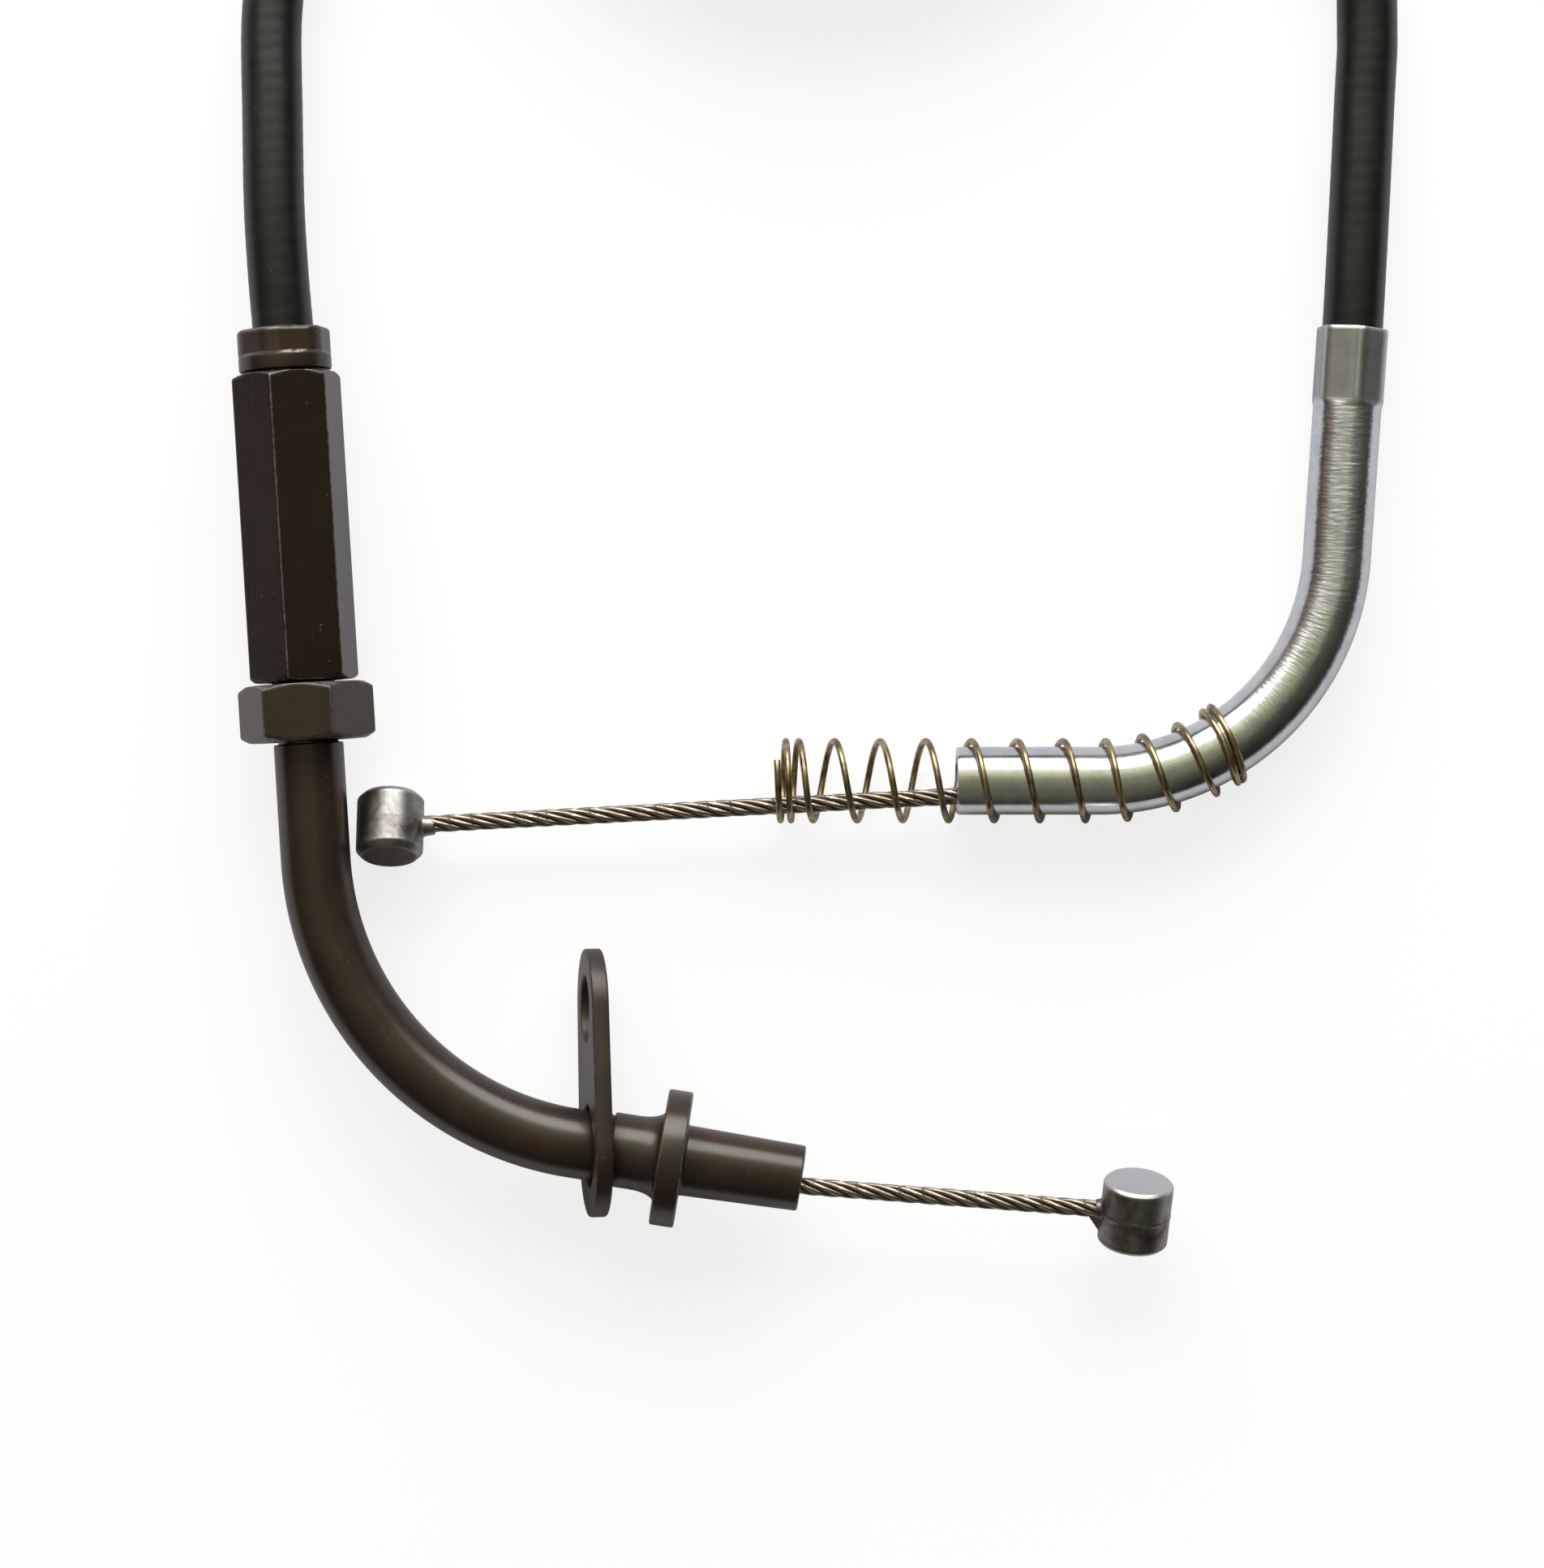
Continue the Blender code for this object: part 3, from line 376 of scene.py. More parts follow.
def hexagon_radius(flats, corner_angle, turn, ease=CORNER_EASE):
    """Distance from the middle to a hexagon with eased corners, and the wear at each point."""
    off = (turn - corner_angle + np.pi / 6) % (np.pi / 3) - np.pi / 6
    centre = (flats / 2 - ease) / math.cos(np.pi / 6)
    touch = np.pi / 6 - math.atan((flats / 2 - ease) * math.tan(np.pi / 6) / (flats / 2))
    flat = flats / 2 / np.cos(np.pi / 6 - np.abs(off))
    arc = centre * np.cos(off) + np.sqrt(np.maximum(ease**2 - (centre * np.sin(off)) ** 2, 0))
    wear = np.clip(1.35 - np.abs(off) / touch, 0, 1)
    return np.where(np.abs(off) < touch, arc, flat), wear


def hexagon_turns(flats, corner_angle, ease=CORNER_EASE):
    """Angles that are close together at the corners."""
    touch = np.pi / 6 - math.atan((flats / 2 - ease) * math.tan(np.pi / 6) / (flats / 2))
    half = np.r_[np.array([0.25, 0.5, 0.75, 1, 1.5, 2.4]) * touch, np.radians([13, 18, 24])]
    sector = np.r_[-half[::-1], 0, half, np.pi / 6]
    return np.concatenate([corner_angle + sector + k * np.pi / 3 for k in range(6)])


def end_rows(start, way, radius, chamfer_from):
    """Rows from the end face over its chamfer to the flats, at one end of a hexagonal piece."""
    face = np.minimum(chamfer_from, radius)
    depth = np.maximum(radius - chamfer_from, 0) * math.tan(np.pi / 6)
    length = np.hypot(radius - face, depth)
    ease = np.minimum(END_EASE, length / 2)
    sharp = 1 - np.clip(length / (2 * END_EASE), 0, 1)
    run = np.maximum(length, 1e-9)
    out, up = (radius - face) / run, depth / run
    rows = [
        (0 * face, face - END_EASE, 0.5),
        (ease * up, face + ease * out - 0.3 * END_EASE * sharp, 1.0),
        (depth - ease * up + 0.3 * END_EASE * sharp, radius - ease * out, 1.0),
        (depth + END_EASE, radius, 0.5),
        (depth + 3 * END_EASE, radius, 0.0),
    ]
    return [(start + way * z, r, w) for z, r, w in rows]


def hexagonal_skin(at, start, length, flats, chamfer, corner_angle, bore):
    """A bored piece of hexagonal bar with chamfered ends."""
    turn = hexagon_turns(flats, corner_angle)
    radius, corner_wear = hexagon_radius(flats, corner_angle, turn)
    chamfer_from = flats / math.sqrt(3) - chamfer
    near = end_rows(start, 1, radius, chamfer_from)
    far = end_rows(start + length, -1, radius, chamfer_from)[::-1]
    outside = [(z, r, np.maximum(w, corner_wear)) for z, r, w in near + far]
    inside = [(start + length, bore + BORE_EASE, 0.3), (start + length - BORE_EASE, bore, 0)]
    inside += [(start + BORE_EASE, bore, 0), (start, bore + BORE_EASE, 0.3)]
    return row_skin(at, outside + inside, turn)


# %% [markdown]
# ## Adjuster sleeve and lock nut
#
# The sleeve is 8.3 mm across its flats and takes the elbow's thread. The nut is a common M6 nut, 10 mm
# across flats, and locks the sleeve on it.

# %% Sleeve and nut
THREAD_BORE = 3.0
SLEEVE_START, SLEEVE_LENGTH, SLEEVE_FLATS, SLEEVE_CHAMFER = 3.85, 26.2, 8.26, 0.55
NUT_START, NUT_THICKNESS, NUT_FLATS, NUT_CHAMFER = 30.3, 4.85, 10.15, 0.85
SLEEVE_ANGLE, NUT_ANGLE = math.radians(-19), math.radians(3)
sleeve_bar = (SLEEVE_START, SLEEVE_LENGTH, SLEEVE_FLATS, SLEEVE_CHAMFER, SLEEVE_ANGLE, THREAD_BORE)
nut_bar = (NUT_START, NUT_THICKNESS, NUT_FLATS, NUT_CHAMFER, NUT_ANGLE, THREAD_BORE)
sleeve_skin, nut_skin = hexagonal_skin(dark, *sleeve_bar), hexagonal_skin(dark, *nut_bar)
sleeve = make_piece("sleeve_adjuster", [sleeve_skin], "sleeve", ["adjuster_sleeve"])
nut = make_piece("nut_m6", [nut_skin], "nut", ["lock_nut"])

# %% [markdown]
# ## Ferrule
#
# A collar that is pressed on the casing's end between six jaws. The jaws are shorter than the collar,
# so it is hexagonal near the casing and still round next to the sleeve, with a small step between.
# The step and the top edge are where the black has rubbed off.

# %% Ferrule
FERRULE_RADIUS, FERRULE_FLATS, FERRULE_LENGTH, FERRULE_EASE = 3.98, 7.42, 3.6, 0.5
PRESSED_TO, STEP_END = 2.15, 2.3
SPIGOT_END, SPIGOT_RADIUS, SPIGOT_BORE = 9.8, 3.0, 1.2
SEAT_DEPTH, SEAT_RADIUS = 3.0, 2.68


def ferrule_rows(turn):
    """Rows round the collar, from its mouth over the outside and the spigot to the bore."""
    pressed, corner_wear = hexagon_radius(FERRULE_FLATS, SLEEVE_ANGLE, turn, FERRULE_EASE)
    pressed = np.minimum(pressed, FERRULE_RADIUS - 0.02)
    whole = FERRULE_RADIUS - 0.03
    rows = [(0, pressed - 0.45, 0.2), (0, pressed - 0.32, 0.8), (0.1, pressed - 0.12, 1)]
    flats = [(0.32, 0, 0.6), (0.5, 0, 0), (PRESSED_TO - 0.12, 0, 0.2), (PRESSED_TO, 0.01, 1)]
    rows += [(z, pressed + out, np.maximum(w, 0.6 * corner_wear)) for z, out, w in flats]
    rows += [(STEP_END, whole - 0.03, 1), (STEP_END + 0.12, whole, 0.7), (STEP_END + 0.3, whole, 0)]
    rows += [(FERRULE_LENGTH - 0.25, whole, 0), (FERRULE_LENGTH - 0.08, whole - 0.05, 0.8)]
    rows += [(FERRULE_LENGTH, whole - 0.2, 0.4), (FERRULE_LENGTH, SPIGOT_RADIUS, 0)]
    rows += [(SPIGOT_END - 0.2, SPIGOT_RADIUS, 0), (SPIGOT_END, SPIGOT_RADIUS - 0.2, 0.3)]
    rows += [(SPIGOT_END, SPIGOT_BORE, 0), (SEAT_DEPTH, SPIGOT_BORE, 0)]
    return rows + [(SEAT_DEPTH, SEAT_RADIUS, 0), (0, SEAT_RADIUS, 0.2)]


turn = hexagon_turns(FERRULE_FLATS, SLEEVE_ANGLE, FERRULE_EASE)
ferrule_skin = row_skin(dark, ferrule_rows(turn), turn)
ferrule = make_piece("ferrule", [ferrule_skin], "casing", ["casing_ferrule"])

# %% [markdown]
# ## Threaded elbow
#
# The elbow is a bent steel tube of 6 mm with an M6 thread rolled on its straight end. The CAD leaves
# the thread out. A thread could be wound as a separate ridge, but that would lie on the tube, and not
# be cut in it. In the mesh it is the tube's own radius that rises and falls once a millimetre as it
# winds round. It shows when the adjuster is screwed out.

# %% Threaded elbow
THREAD_LEAD, THREAD_MEAN, THREAD_HEIGHT = 1.0, 2.66, 0.26
ELBOW_START, SHOULDER, ELBOW_RADIUS, ELBOW_BORE = 16.05, 35.4, 2.97, 1.9
NECK_START, NECK_END, NECK_RADIUS = DARK_BEND_END + 3.1, DARK_BEND_END + 7.7, 2.4
THREAD_STEPS, THREAD_SIDES = 8, 48
RUN_IN, RUN_OUT, CREST_WEAR = 1.2, 0.8, 0.6


def thread_rows(turn):
    """Rows of the thread, which runs out at both of its ends."""
    rows = []
    for z in np.arange(ELBOW_START, SHOULDER - 0.2, THREAD_LEAD / THREAD_STEPS):
        phase = (z / THREAD_LEAD + turn / (2 * np.pi)) % 1
        ridge = np.clip(1.25 * (1 - 4 * np.abs(phase - 0.5)), -1, 1)
        fade = min((z - ELBOW_START) / RUN_IN, 1) * min((SHOULDER - z) / RUN_OUT, 1)
        radius = THREAD_MEAN + THREAD_HEIGHT * (ridge * fade - (1 - fade) * 0.6)
        rows.append((z, radius, np.clip(ridge, 0, 1) * CREST_WEAR))
    return rows


turn = 2 * np.pi * np.arange(THREAD_SIDES) / THREAD_SIDES
rows = thread_rows(turn) + [(SHOULDER, 2.6, 0), (SHOULDER, 2.87, 0.6), (SHOULDER + 0.1, ELBOW_RADIUS, 0.6)]
plain = [SHOULDER + 0.4, *np.arange(SHOULDER + 2, DARK_ABOVE, 2), *np.linspace(DARK_ABOVE, DARK_BEND_END, 60)]
rows += [(z, ELBOW_RADIUS, 0) for z in [*plain, NECK_START - 0.2]] + [(NECK_START, ELBOW_RADIUS - 0.12, 0.5)]
rows += [(NECK_START, NECK_RADIUS, 0), (NECK_END, NECK_RADIUS, 0), (NECK_END, ELBOW_BORE, 0)]
rows += [(z, ELBOW_BORE, 0) for z in [*np.linspace(DARK_BEND_END, DARK_ABOVE, 40), ELBOW_START]]
elbow = make_piece("elbow_dark", [row_skin(dark, rows, turn)], "elbow", ["dark_elbow"])

# %% [markdown]
# ## End fitting
#
# Hub, flange and nozzle are turned in one piece and pressed on the elbow. The nozzle tapers a little,
# so that it finds its hole, and a hollow fillet leads from the hub to the flange.

# %% End fitting
FITTING, FITTING_SIDES, FITTING_EASE = DARK_BEND_END + 3.35, 96, 0.22
fitting_outline = [
    (-0.22, 2.65), (-0.22, 3.17), (1.9, 3.17), (2.7, 3.22), (3.3, 3.36), (3.75, 3.56), (4.0, 3.8)
]
fitting_outline += [(4.0, 5.83), (6.1, 5.83), (6.1, 3.02), (16.3, 2.8), (16.3, 1.8), (4.6, 1.8), (4.6, 2.65)]
fitting_outline = [(FITTING + z, r) for z, r in fitting_outline]
fitting_skin = turned_skin(dark, fitting_outline, FITTING_SIDES, FITTING_EASE)
fitting = make_piece("fitting_end", [fitting_skin], "elbow", ["end_fitting"])

# %% [markdown]
# ## Clamp plate
#
# The plate is stamped from 1.5 mm sheet. A filled 2D curve is just what a stamping is: an outline with
# holes and a thickness. Its bevel gives the edges that tumbling leaves on such parts. The curve is
# turned into a mesh at once, so that its points can carry their wear.

# %% Clamp plate
PLATE_THICKNESS, PLATE_EASE = 1.45, 0.2
TUBE_END_RADIUS, SCREW_END_RADIUS, PLATE_CENTRES = 6.0, 5.2, 11.7
TUBE_HOLE, SCREW_HOLE = 3.6, 2.9
PLATE_PLACE, PLATE_TILT, PLATE_TWIST = DARK_BEND_END + 1.9, math.radians(9.6), math.radians(1.4)


def plate_curve():
    """The plate's outline and its two holes as a flat curve, drawn inside its bevel."""
    lean = math.asin((TUBE_END_RADIUS - SCREW_END_RADIUS) / PLATE_CENTRES)
    full = np.pi / 2 - np.linspace(0, 2 * np.pi, 64, endpoint=False)

    def arc(centre, radius, angles):
        return [(centre + radius * np.sin(a), radius * np.cos(a)) for a in angles]

    outer = arc(PLATE_CENTRES, SCREW_END_RADIUS - PLATE_EASE, np.linspace(lean, np.pi - lean, 40))
    outer += arc(0, TUBE_END_RADIUS - PLATE_EASE, np.linspace(np.pi - lean, 2 * np.pi + lean, 48))
    curve = bpy.data.curves.new("plate_outline", "CURVE")
    curve.dimensions = "2D"
    curve.fill_mode = "BOTH"
    curve.extrude = PLATE_THICKNESS / 2 - PLATE_EASE
    curve.bevel_depth = PLATE_EASE
    curve.bevel_resolution = 2
    holes = [arc(0, TUBE_HOLE + PLATE_EASE, full), arc(PLATE_CENTRES, SCREW_HOLE + PLATE_EASE, full)]
    for path in (outer, *holes):
        spline = curve.splines.new("POLY")
        spline.points.add(len(path) - 1)
        spline.use_cyclic_u = True
        for target, (x, y) in zip(spline.points, path):
            target.co = (x, y, 0, 1)
    return curve


def evaluated_mesh(thing):
    """A new mesh of a thing as it is with its modifiers or its curve's settings."""
    bpy.context.view_layer.update()
    return bpy.data.meshes.new_from_object(thing.evaluated_get(bpy.context.evaluated_depsgraph_get()))


def moved(place, points):
    """Points in any arrangement, moved by a matrix."""
    points = np.asarray(points, float)
    return np.array([place @ Vector(p) for p in points.reshape(-1, 3)]).reshape(points.shape)


holder = bpy.data.objects.new("clamp_plate_stamped", plate_curve())
bpy.context.scene.collection.objects.link(holder)
plate_mesh = evaluated_mesh(holder)
bpy.data.objects.remove(holder)
local = np.array([v.co for v in plate_mesh.vertices])[:, [2, 0, 1]]
half = PLATE_THICKNESS / 2
lie = -math.asin((TUBE_END_RADIUS - SCREW_END_RADIUS) * math.cos(PLATE_TILT) / PLATE_CENTRES)
pivot = Matrix.Translation(Vector(dark(PLATE_PLACE)[0])) @ Matrix.Rotation(lie, 4, "X")
pivot = pivot @ Matrix.Rotation(PLATE_TWIST, 4, "Z") @ Matrix.Rotation(PLATE_TILT, 4, "Y")
deep = np.abs(local[:, 0])
edge_wear = np.clip(1 - np.abs(deep - (half - 0.06)) / 0.14, 0, 1) * (deep < half - 0.001)
plate_mesh.vertices.foreach_set("co", np.ravel(moved(pivot, local) * MM))
carry(plate_mesh, local, edge_wear)
plate = dress("plate_clamp", plate_mesh, "plate", ["clamp_plate"])
print("plate has", len(plate_mesh.polygons), "faces")

# %% [markdown]
# ## Bright elbow
#
# A thin tube, bent and then zinc plated. Its upper end is pressed to six flats on the casing, with
# dies that stop short of the bend, so the tube swells from the flats back to its own roundness.

# %% Bright elbow
TUBE_RADIUS, TUBE_BORE = 2.92, 2.25
CRIMP_LENGTH, CRIMP_FLATS, CRIMP_CORNER, CRIMP_EASE, CRIMP_ANGLE = 6.6, 5.75, 3.08, 0.35, math.radians(96)
CRIMP_START = BRIGHT_END - CRIMP_LENGTH
SEAT_LENGTH, SEAT_BORE = 2.7, 2.66


def bright_rows(turn):
    """Rows of the tube, from its mouth to the crimp and back through the bore."""
    pressed, corner_wear = hexagon_radius(CRIMP_FLATS, CRIMP_ANGLE, turn, CRIMP_EASE)
    pressed = np.minimum(pressed, CRIMP_CORNER)
    bend_end = BRIGHT_END - BRIGHT_BEYOND
    plain = [*np.arange(2, BRIGHT_LEAD, 2), *np.linspace(BRIGHT_LEAD, bend_end, 56)]
    plain += [*np.arange(bend_end + 2, CRIMP_START - 0.6, 2)]
    rows = [(0, 2.35, 0), (0, 2.72, 0.5), (0.08, 2.87, 1), (0.25, TUBE_RADIUS, 0.5)]
    rows += [(z, TUBE_RADIUS, 0) for z in [0.6, *plain]]
    for share in (0, 0.15, 0.35, 0.6, 0.85, 1):
        blend = share * share * (3 - 2 * share)
        rows.append(
            (CRIMP_START - 0.35 + 0.7 * share, TUBE_RADIUS + (pressed - TUBE_RADIUS) * blend, 0.35 * blend)
        )
    for z, w in ((0.7, 0), (3.3, 0), (CRIMP_LENGTH - 0.4, 0), (CRIMP_LENGTH - 0.12, 0.5)):
        rows.append((CRIMP_START + z, pressed, np.maximum(w, corner_wear)))
    rows += [(BRIGHT_END, pressed - 0.08, 1), (BRIGHT_END, SEAT_BORE, 0.4)]
    rows += [(BRIGHT_END - SEAT_LENGTH, SEAT_BORE, 0), (BRIGHT_END - SEAT_LENGTH - 0.1, TUBE_BORE, 0)]
    return rows + [(z, TUBE_BORE, 0) for z in [*np.linspace(bend_end, BRIGHT_LEAD, 40), 0.15]]


turn = hexagon_turns(CRIMP_FLATS, CRIMP_ANGLE, CRIMP_EASE)
tube_skin = row_skin(bright, bright_rows(turn), turn)
tube = make_piece("elbow_bright", [tube_skin], "casing", ["bright_elbow"])

# %% [markdown]
# ## Return spring
#
# The spring starts in the open, where its plunger would sit, slides over the tube and follows it round
# the bend. A screw modifier only winds straight springs, so the wire's centre is worked out turn by
# turn on the bright end's own line: close turns at both ends and open ones between, as springs are
# coiled. On the bend the coils don't stand square to the tube: each lies further along on the inside
# of the bend than on its outside, by up to a millimetre, and this lean is added turn by turn.

# %% Return spring
SPRING_TURNS, SPRING_STEPS, SPRING_WIRE = 13.4, 44, 0.28
FIRST_CLOSED, LAST_CLOSED, OPENING = 1.4, 1.7, 1.3
SPRING_MEAN = TUBE_RADIUS + 0.2 + SPRING_WIRE
SPRING_OVERHANG, OPEN_PITCH, CLOSED_PITCH = 15.4, 3.92, 0.9
LEAN_TURNS = [8.83, 9.33, 9.83, 10.33, 10.83, 11.33, 11.83, 12.33, 12.83, 13.33]
LEANS = [0, -0.7, 0, -1.0, 0.15, -0.95, 1.4, -0.4, 1.35, -0.6]
LEAN_SCALE, SPRING_PHASE = 1.25, math.radians(60)

turns = np.linspace(0, SPRING_TURNS, round(SPRING_TURNS * SPRING_STEPS) + 1)
opened = np.clip(np.minimum(turns - FIRST_CLOSED, SPRING_TURNS - turns - LAST_CLOSED) / OPENING, 0, 1)
pitch = CLOSED_PITCH + (OPEN_PITCH - CLOSED_PITCH) * opened
advance = np.r_[0, np.cumsum((pitch[1:] + pitch[:-1]) / 2 * np.diff(turns))]
lean = np.interp(turns, LEAN_TURNS, LEANS)
soft = SPRING_STEPS // 4
window = np.ones(2 * soft + 1) / (2 * soft + 1)
lean = np.convolve(np.pad(lean, soft, mode="edge"), window, mode="valid")
along = advance + LEAN_SCALE * lean - SPRING_OVERHANG
spring_line, _ = spun(bright, along, SPRING_MEAN + 0 * turns, SPRING_PHASE + 2 * np.pi * turns)
skin, lay = round_skin(spring_line, SPRING_WIRE, 12)
spring = make_piece("spring_return", [(skin, lay, 0.0, False)], "casing", ["return_spring"])
print("spring length along the tube in mm:", round(advance[-1], 1))

# %% [markdown]
# ## Stranded wires
#
# Each inner wire is a rope of seven strands: six twisted round one, one turn every 10 mm. A spiral
# bump on a rod would miss the grooves in the outline, which show even from a step away. So each
# strand is modelled, with the six outer wires that it is itself twisted from as shallow lobes.

# %% Stranded wires
STRAND_RADIUS, STRAND_LAY, STRAND_SIDES = 0.25, 10.0, 18
LOBES, LOBE_HEIGHT, LOBE_LAY = 6, 0.014, 1.9


def stranded(line_points, step=0.22):
    """Skins of a rope of seven strands along a line."""
    line, distance = smooth_line(line_points, step)
    first, second = across(line)
    skins = []
    for k in range(7):
        winding = 2 * np.pi * (k / 6 + distance / STRAND_LAY)
        out = 0 if k == 6 else 2 * STRAND_RADIUS
        aside, high = out * np.cos(winding), out * np.sin(winding)
        centre = line + aside[:, None] * first + high[:, None] * second
        around = 2 * np.pi * np.arange(STRAND_SIDES) / STRAND_SIDES
        lobes = LOBE_HEIGHT * np.cos(LOBES * around[None] + 2 * np.pi * distance[:, None] / LOBE_LAY)
        skin, _ = round_skin(centre, STRAND_RADIUS - LOBE_HEIGHT + lobes, STRAND_SIDES)
        from_line = skin - line[:, None]
        lay = np.stack(
            [np.einsum("ijk,ik->ij", from_line, first), np.einsum("ijk,ik->ij", from_line, second)], -1
        )
        lay = np.concatenate([lay, np.broadcast_to(distance[:, None, None], (*lay.shape[:2], 1))], -1)
        skins.append((skin, lay, 0.0, False))
    return skins


def heading_vector(angle):
    return np.array((math.cos(angle), math.sin(angle), 0.0))


DARK_REACH, BRIGHT_REACH, ROOTED = 28.0, 48.1, 1.2
DARK_DROOP, BRIGHT_RISE = math.radians(-4.4), math.radians(3.04)
DARK_SAG, BRIGHT_SAG = 0.65, 1.33

mouth, mouth_heading = dark(DARK_MOUTH)
into = heading_vector(float(mouth_heading))
dark_start = mouth + DARK_SAG * np.array((into[1], -into[0], 0))
dark_away = heading_vector(DARK_DROOP)
dark_line = [dark_start + s * into for s in (-15.5, -8, -3, -1.2)]
dark_line += [dark_start + s * dark_away for s in (1.2, 3, 8, 18, DARK_REACH + ROOTED)]
wire_dark = make_piece("strands_dark", stranded(dark_line), "dark_wire", ["wire_dark"])

bright_into = heading_vector(BRIGHT_RISE)
bright_start = np.array(BRIGHT_START) - np.array((0, BRIGHT_SAG, 0))
bright_line = [bright_start + s * bright_into for s in (6.5, 0, -16, -32, -BRIGHT_REACH - ROOTED)]
bright_strands = stranded(bright_line)
wire_bright = make_piece("strands_bright", bright_strands, "bright_wire", ["wire_bright"])

# %% [markdown]
# ## Cast nipples
#
# A barrel of zinc is cast straight on each wire's end. Castings have no sharp edges, and theirs flow
# into the small collar round the wire. Barrel and collar are made as turned forms, merged by a voxel
# remesh and smoothed, which gives the soft root that a fillet on a boolean would struggle with.

# %% Cast nipples
VOXEL = 0.075
DARK_BARREL, BRIGHT_BARREL = 3.0, 2.88
WIRE_INSIDE = 2.3


def solid_skin(outline, sides, place):
    """A turned solid round Z from (radius, height) points, moved to its place."""
    turn = 2 * np.pi * np.arange(sides) / sides
    rings = np.array([[(r * math.cos(a), r * math.sin(a), z) for a in turn] for r, z in outline])
    return moved(place, rings), rings, 0.0, False


def web_skin(radius, reach, drop, hand):
    """The small web under the wire, left by the mould's parting."""
    corners = [(radius - 0.5, -0.1), (radius + reach, -0.35), (radius + reach, -0.6), (radius - 0.15, -drop)]
    corners += [(radius - 0.5, -drop)]
    rings = np.array([[(hand * x, side, z) for x, z in corners] for side in (-0.45, 0.45)])
    return rings, rings, 0.0, False


def cast_nipple(name, size, stub, web, hand, centre, lean, tilt, body, node):
    """A barrel with a collar for its wire, as one soft casting."""
    radius, length, chamfer, seam = size
    stub_radius, stub_length = stub
    half = length / 2
    barrel = [(0.02, -half), (radius - chamfer, -half), (radius, chamfer - half)]
    barrel += [(radius, -0.12), (radius + seam, -0.06), (radius + seam, 0.06), (radius, 0.12)]
    barrel += [(radius, half - chamfer), (radius - chamfer, half), (0.02, half)]
    collar = [
        (stub_radius, 0.5), (stub_radius, radius - 0.1), (stub_radius * 0.86, radius + stub_length * 0.5)
    ]
    collar += [(stub_radius * 0.8, radius + stub_length)]
    sideways = Matrix.Rotation(hand * math.radians(90), 4, "Y")
    forms = [solid_skin(barrel, 72, Matrix()), solid_skin(collar, 40, sideways), web_skin(radius, *web, hand)]
    draft = make_piece(name, forms, body, [node])
    remesh = draft.modifiers.new("cast", "REMESH")
    remesh.mode = "VOXEL"
    remesh.voxel_size = VOXEL * MM
    soften = draft.modifiers.new("soften", "SMOOTH")
    soften.factor, soften.iterations = 0.5, 4
    cast = evaluated_mesh(draft)
    points = np.array([v.co for v in cast.vertices]) / MM
    out, high = np.hypot(points[:, 0], points[:, 1]), np.abs(points[:, 2])
    rim = np.clip((out - radius + chamfer + 0.25) / 0.3, 0, 1)
    rim = rim * np.clip((high - half + chamfer + 0.25) / 0.3, 0, 1)
    place = Matrix.Translation(Vector(centre)) @ Matrix.Rotation(math.radians(-lean), 4, "Z")
    place = place @ Matrix.Rotation(math.radians(tilt), 4, "X") @ Matrix.Rotation(math.radians(-90), 4, "X")
    for attribute in ("lay", "wear"):
        if attribute in cast.attributes:
            cast.attributes.remove(cast.attributes[attribute])
    carry(cast, points, rim)
    cast.vertices.foreach_set("co", np.ravel(moved(place, points) * MM))
    cast.shade_smooth()
    draft.modifiers.clear()
    draft.data = cast
    print(name, "cast with", len(cast.polygons), "faces")
    return draft


dark_middle = dark_start + (DARK_REACH + DARK_BARREL - WIRE_INSIDE) * dark_away
bright_middle = bright_start - (BRIGHT_REACH + BRIGHT_BARREL - WIRE_INSIDE) * bright_into
dark_form = ((DARK_BARREL, 5.8, 0.3, 0.045), (0.95, 0.5), (1.0, 2.1), -1)
bright_form = ((BRIGHT_BARREL, 5.6, 0.5, 0.01), (0.95, 1.0), (0.3, 1.0), 1)
nipple_dark = cast_nipple("barrel_dark", *dark_form, dark_middle, 5, 20, "dark_wire", "nipple_dark")
nipple_bright = cast_nipple(
    "barrel_bright", *bright_form, bright_middle, -0.5, -23, "bright_wire", "nipple_bright"
)

# %% [markdown]
# ## Ties
#
# Two plain plastic bands hold the coil. A curve with a bevel could draw them, but here each section of
# the band is laid on the bundle's own outline, so that it fits. A small head closes it inside the coil.

# %% Ties
TIE_WIDTH, TIE_THICKNESS, TIE_ANGLES = 3.6, 0.6, (118, 298)
BUNDLE_HALF, BUNDLE_CORNER, BUNDLE_RADIUS, BUNDLE_FLOOR = 5.25, 2.625, 30, 0.9
HEAD_RADIUS, HEAD_WIDTH, HEAD_HEIGHT = 0.5, 1.9, 1.5


def rounded_box(wide, high, radius, steps):
    """Points round a box with rounded corners, whose centres lie at plus and minus wide and high."""
    points = []
    for corner in (45, 135, 225, 315):
        angle = math.radians(corner)
        x, z = math.copysign(wide, math.cos(angle)), math.copysign(high, math.sin(angle))
        for a in np.radians(np.linspace(corner - 45, corner + 45, steps)):
            points.append((x + radius * math.cos(a), z + radius * math.sin(a)))
    return np.array(points)


def bundle_outline(grow):
    """Points round the bundle's section as (out from the coil's centre, height)."""
    flat = BUNDLE_HALF - BUNDLE_CORNER
    return rounded_box(flat, flat, BUNDLE_CORNER + grow, 12) + (BUNDLE_RADIUS, BUNDLE_FLOOR + BUNDLE_HALF)


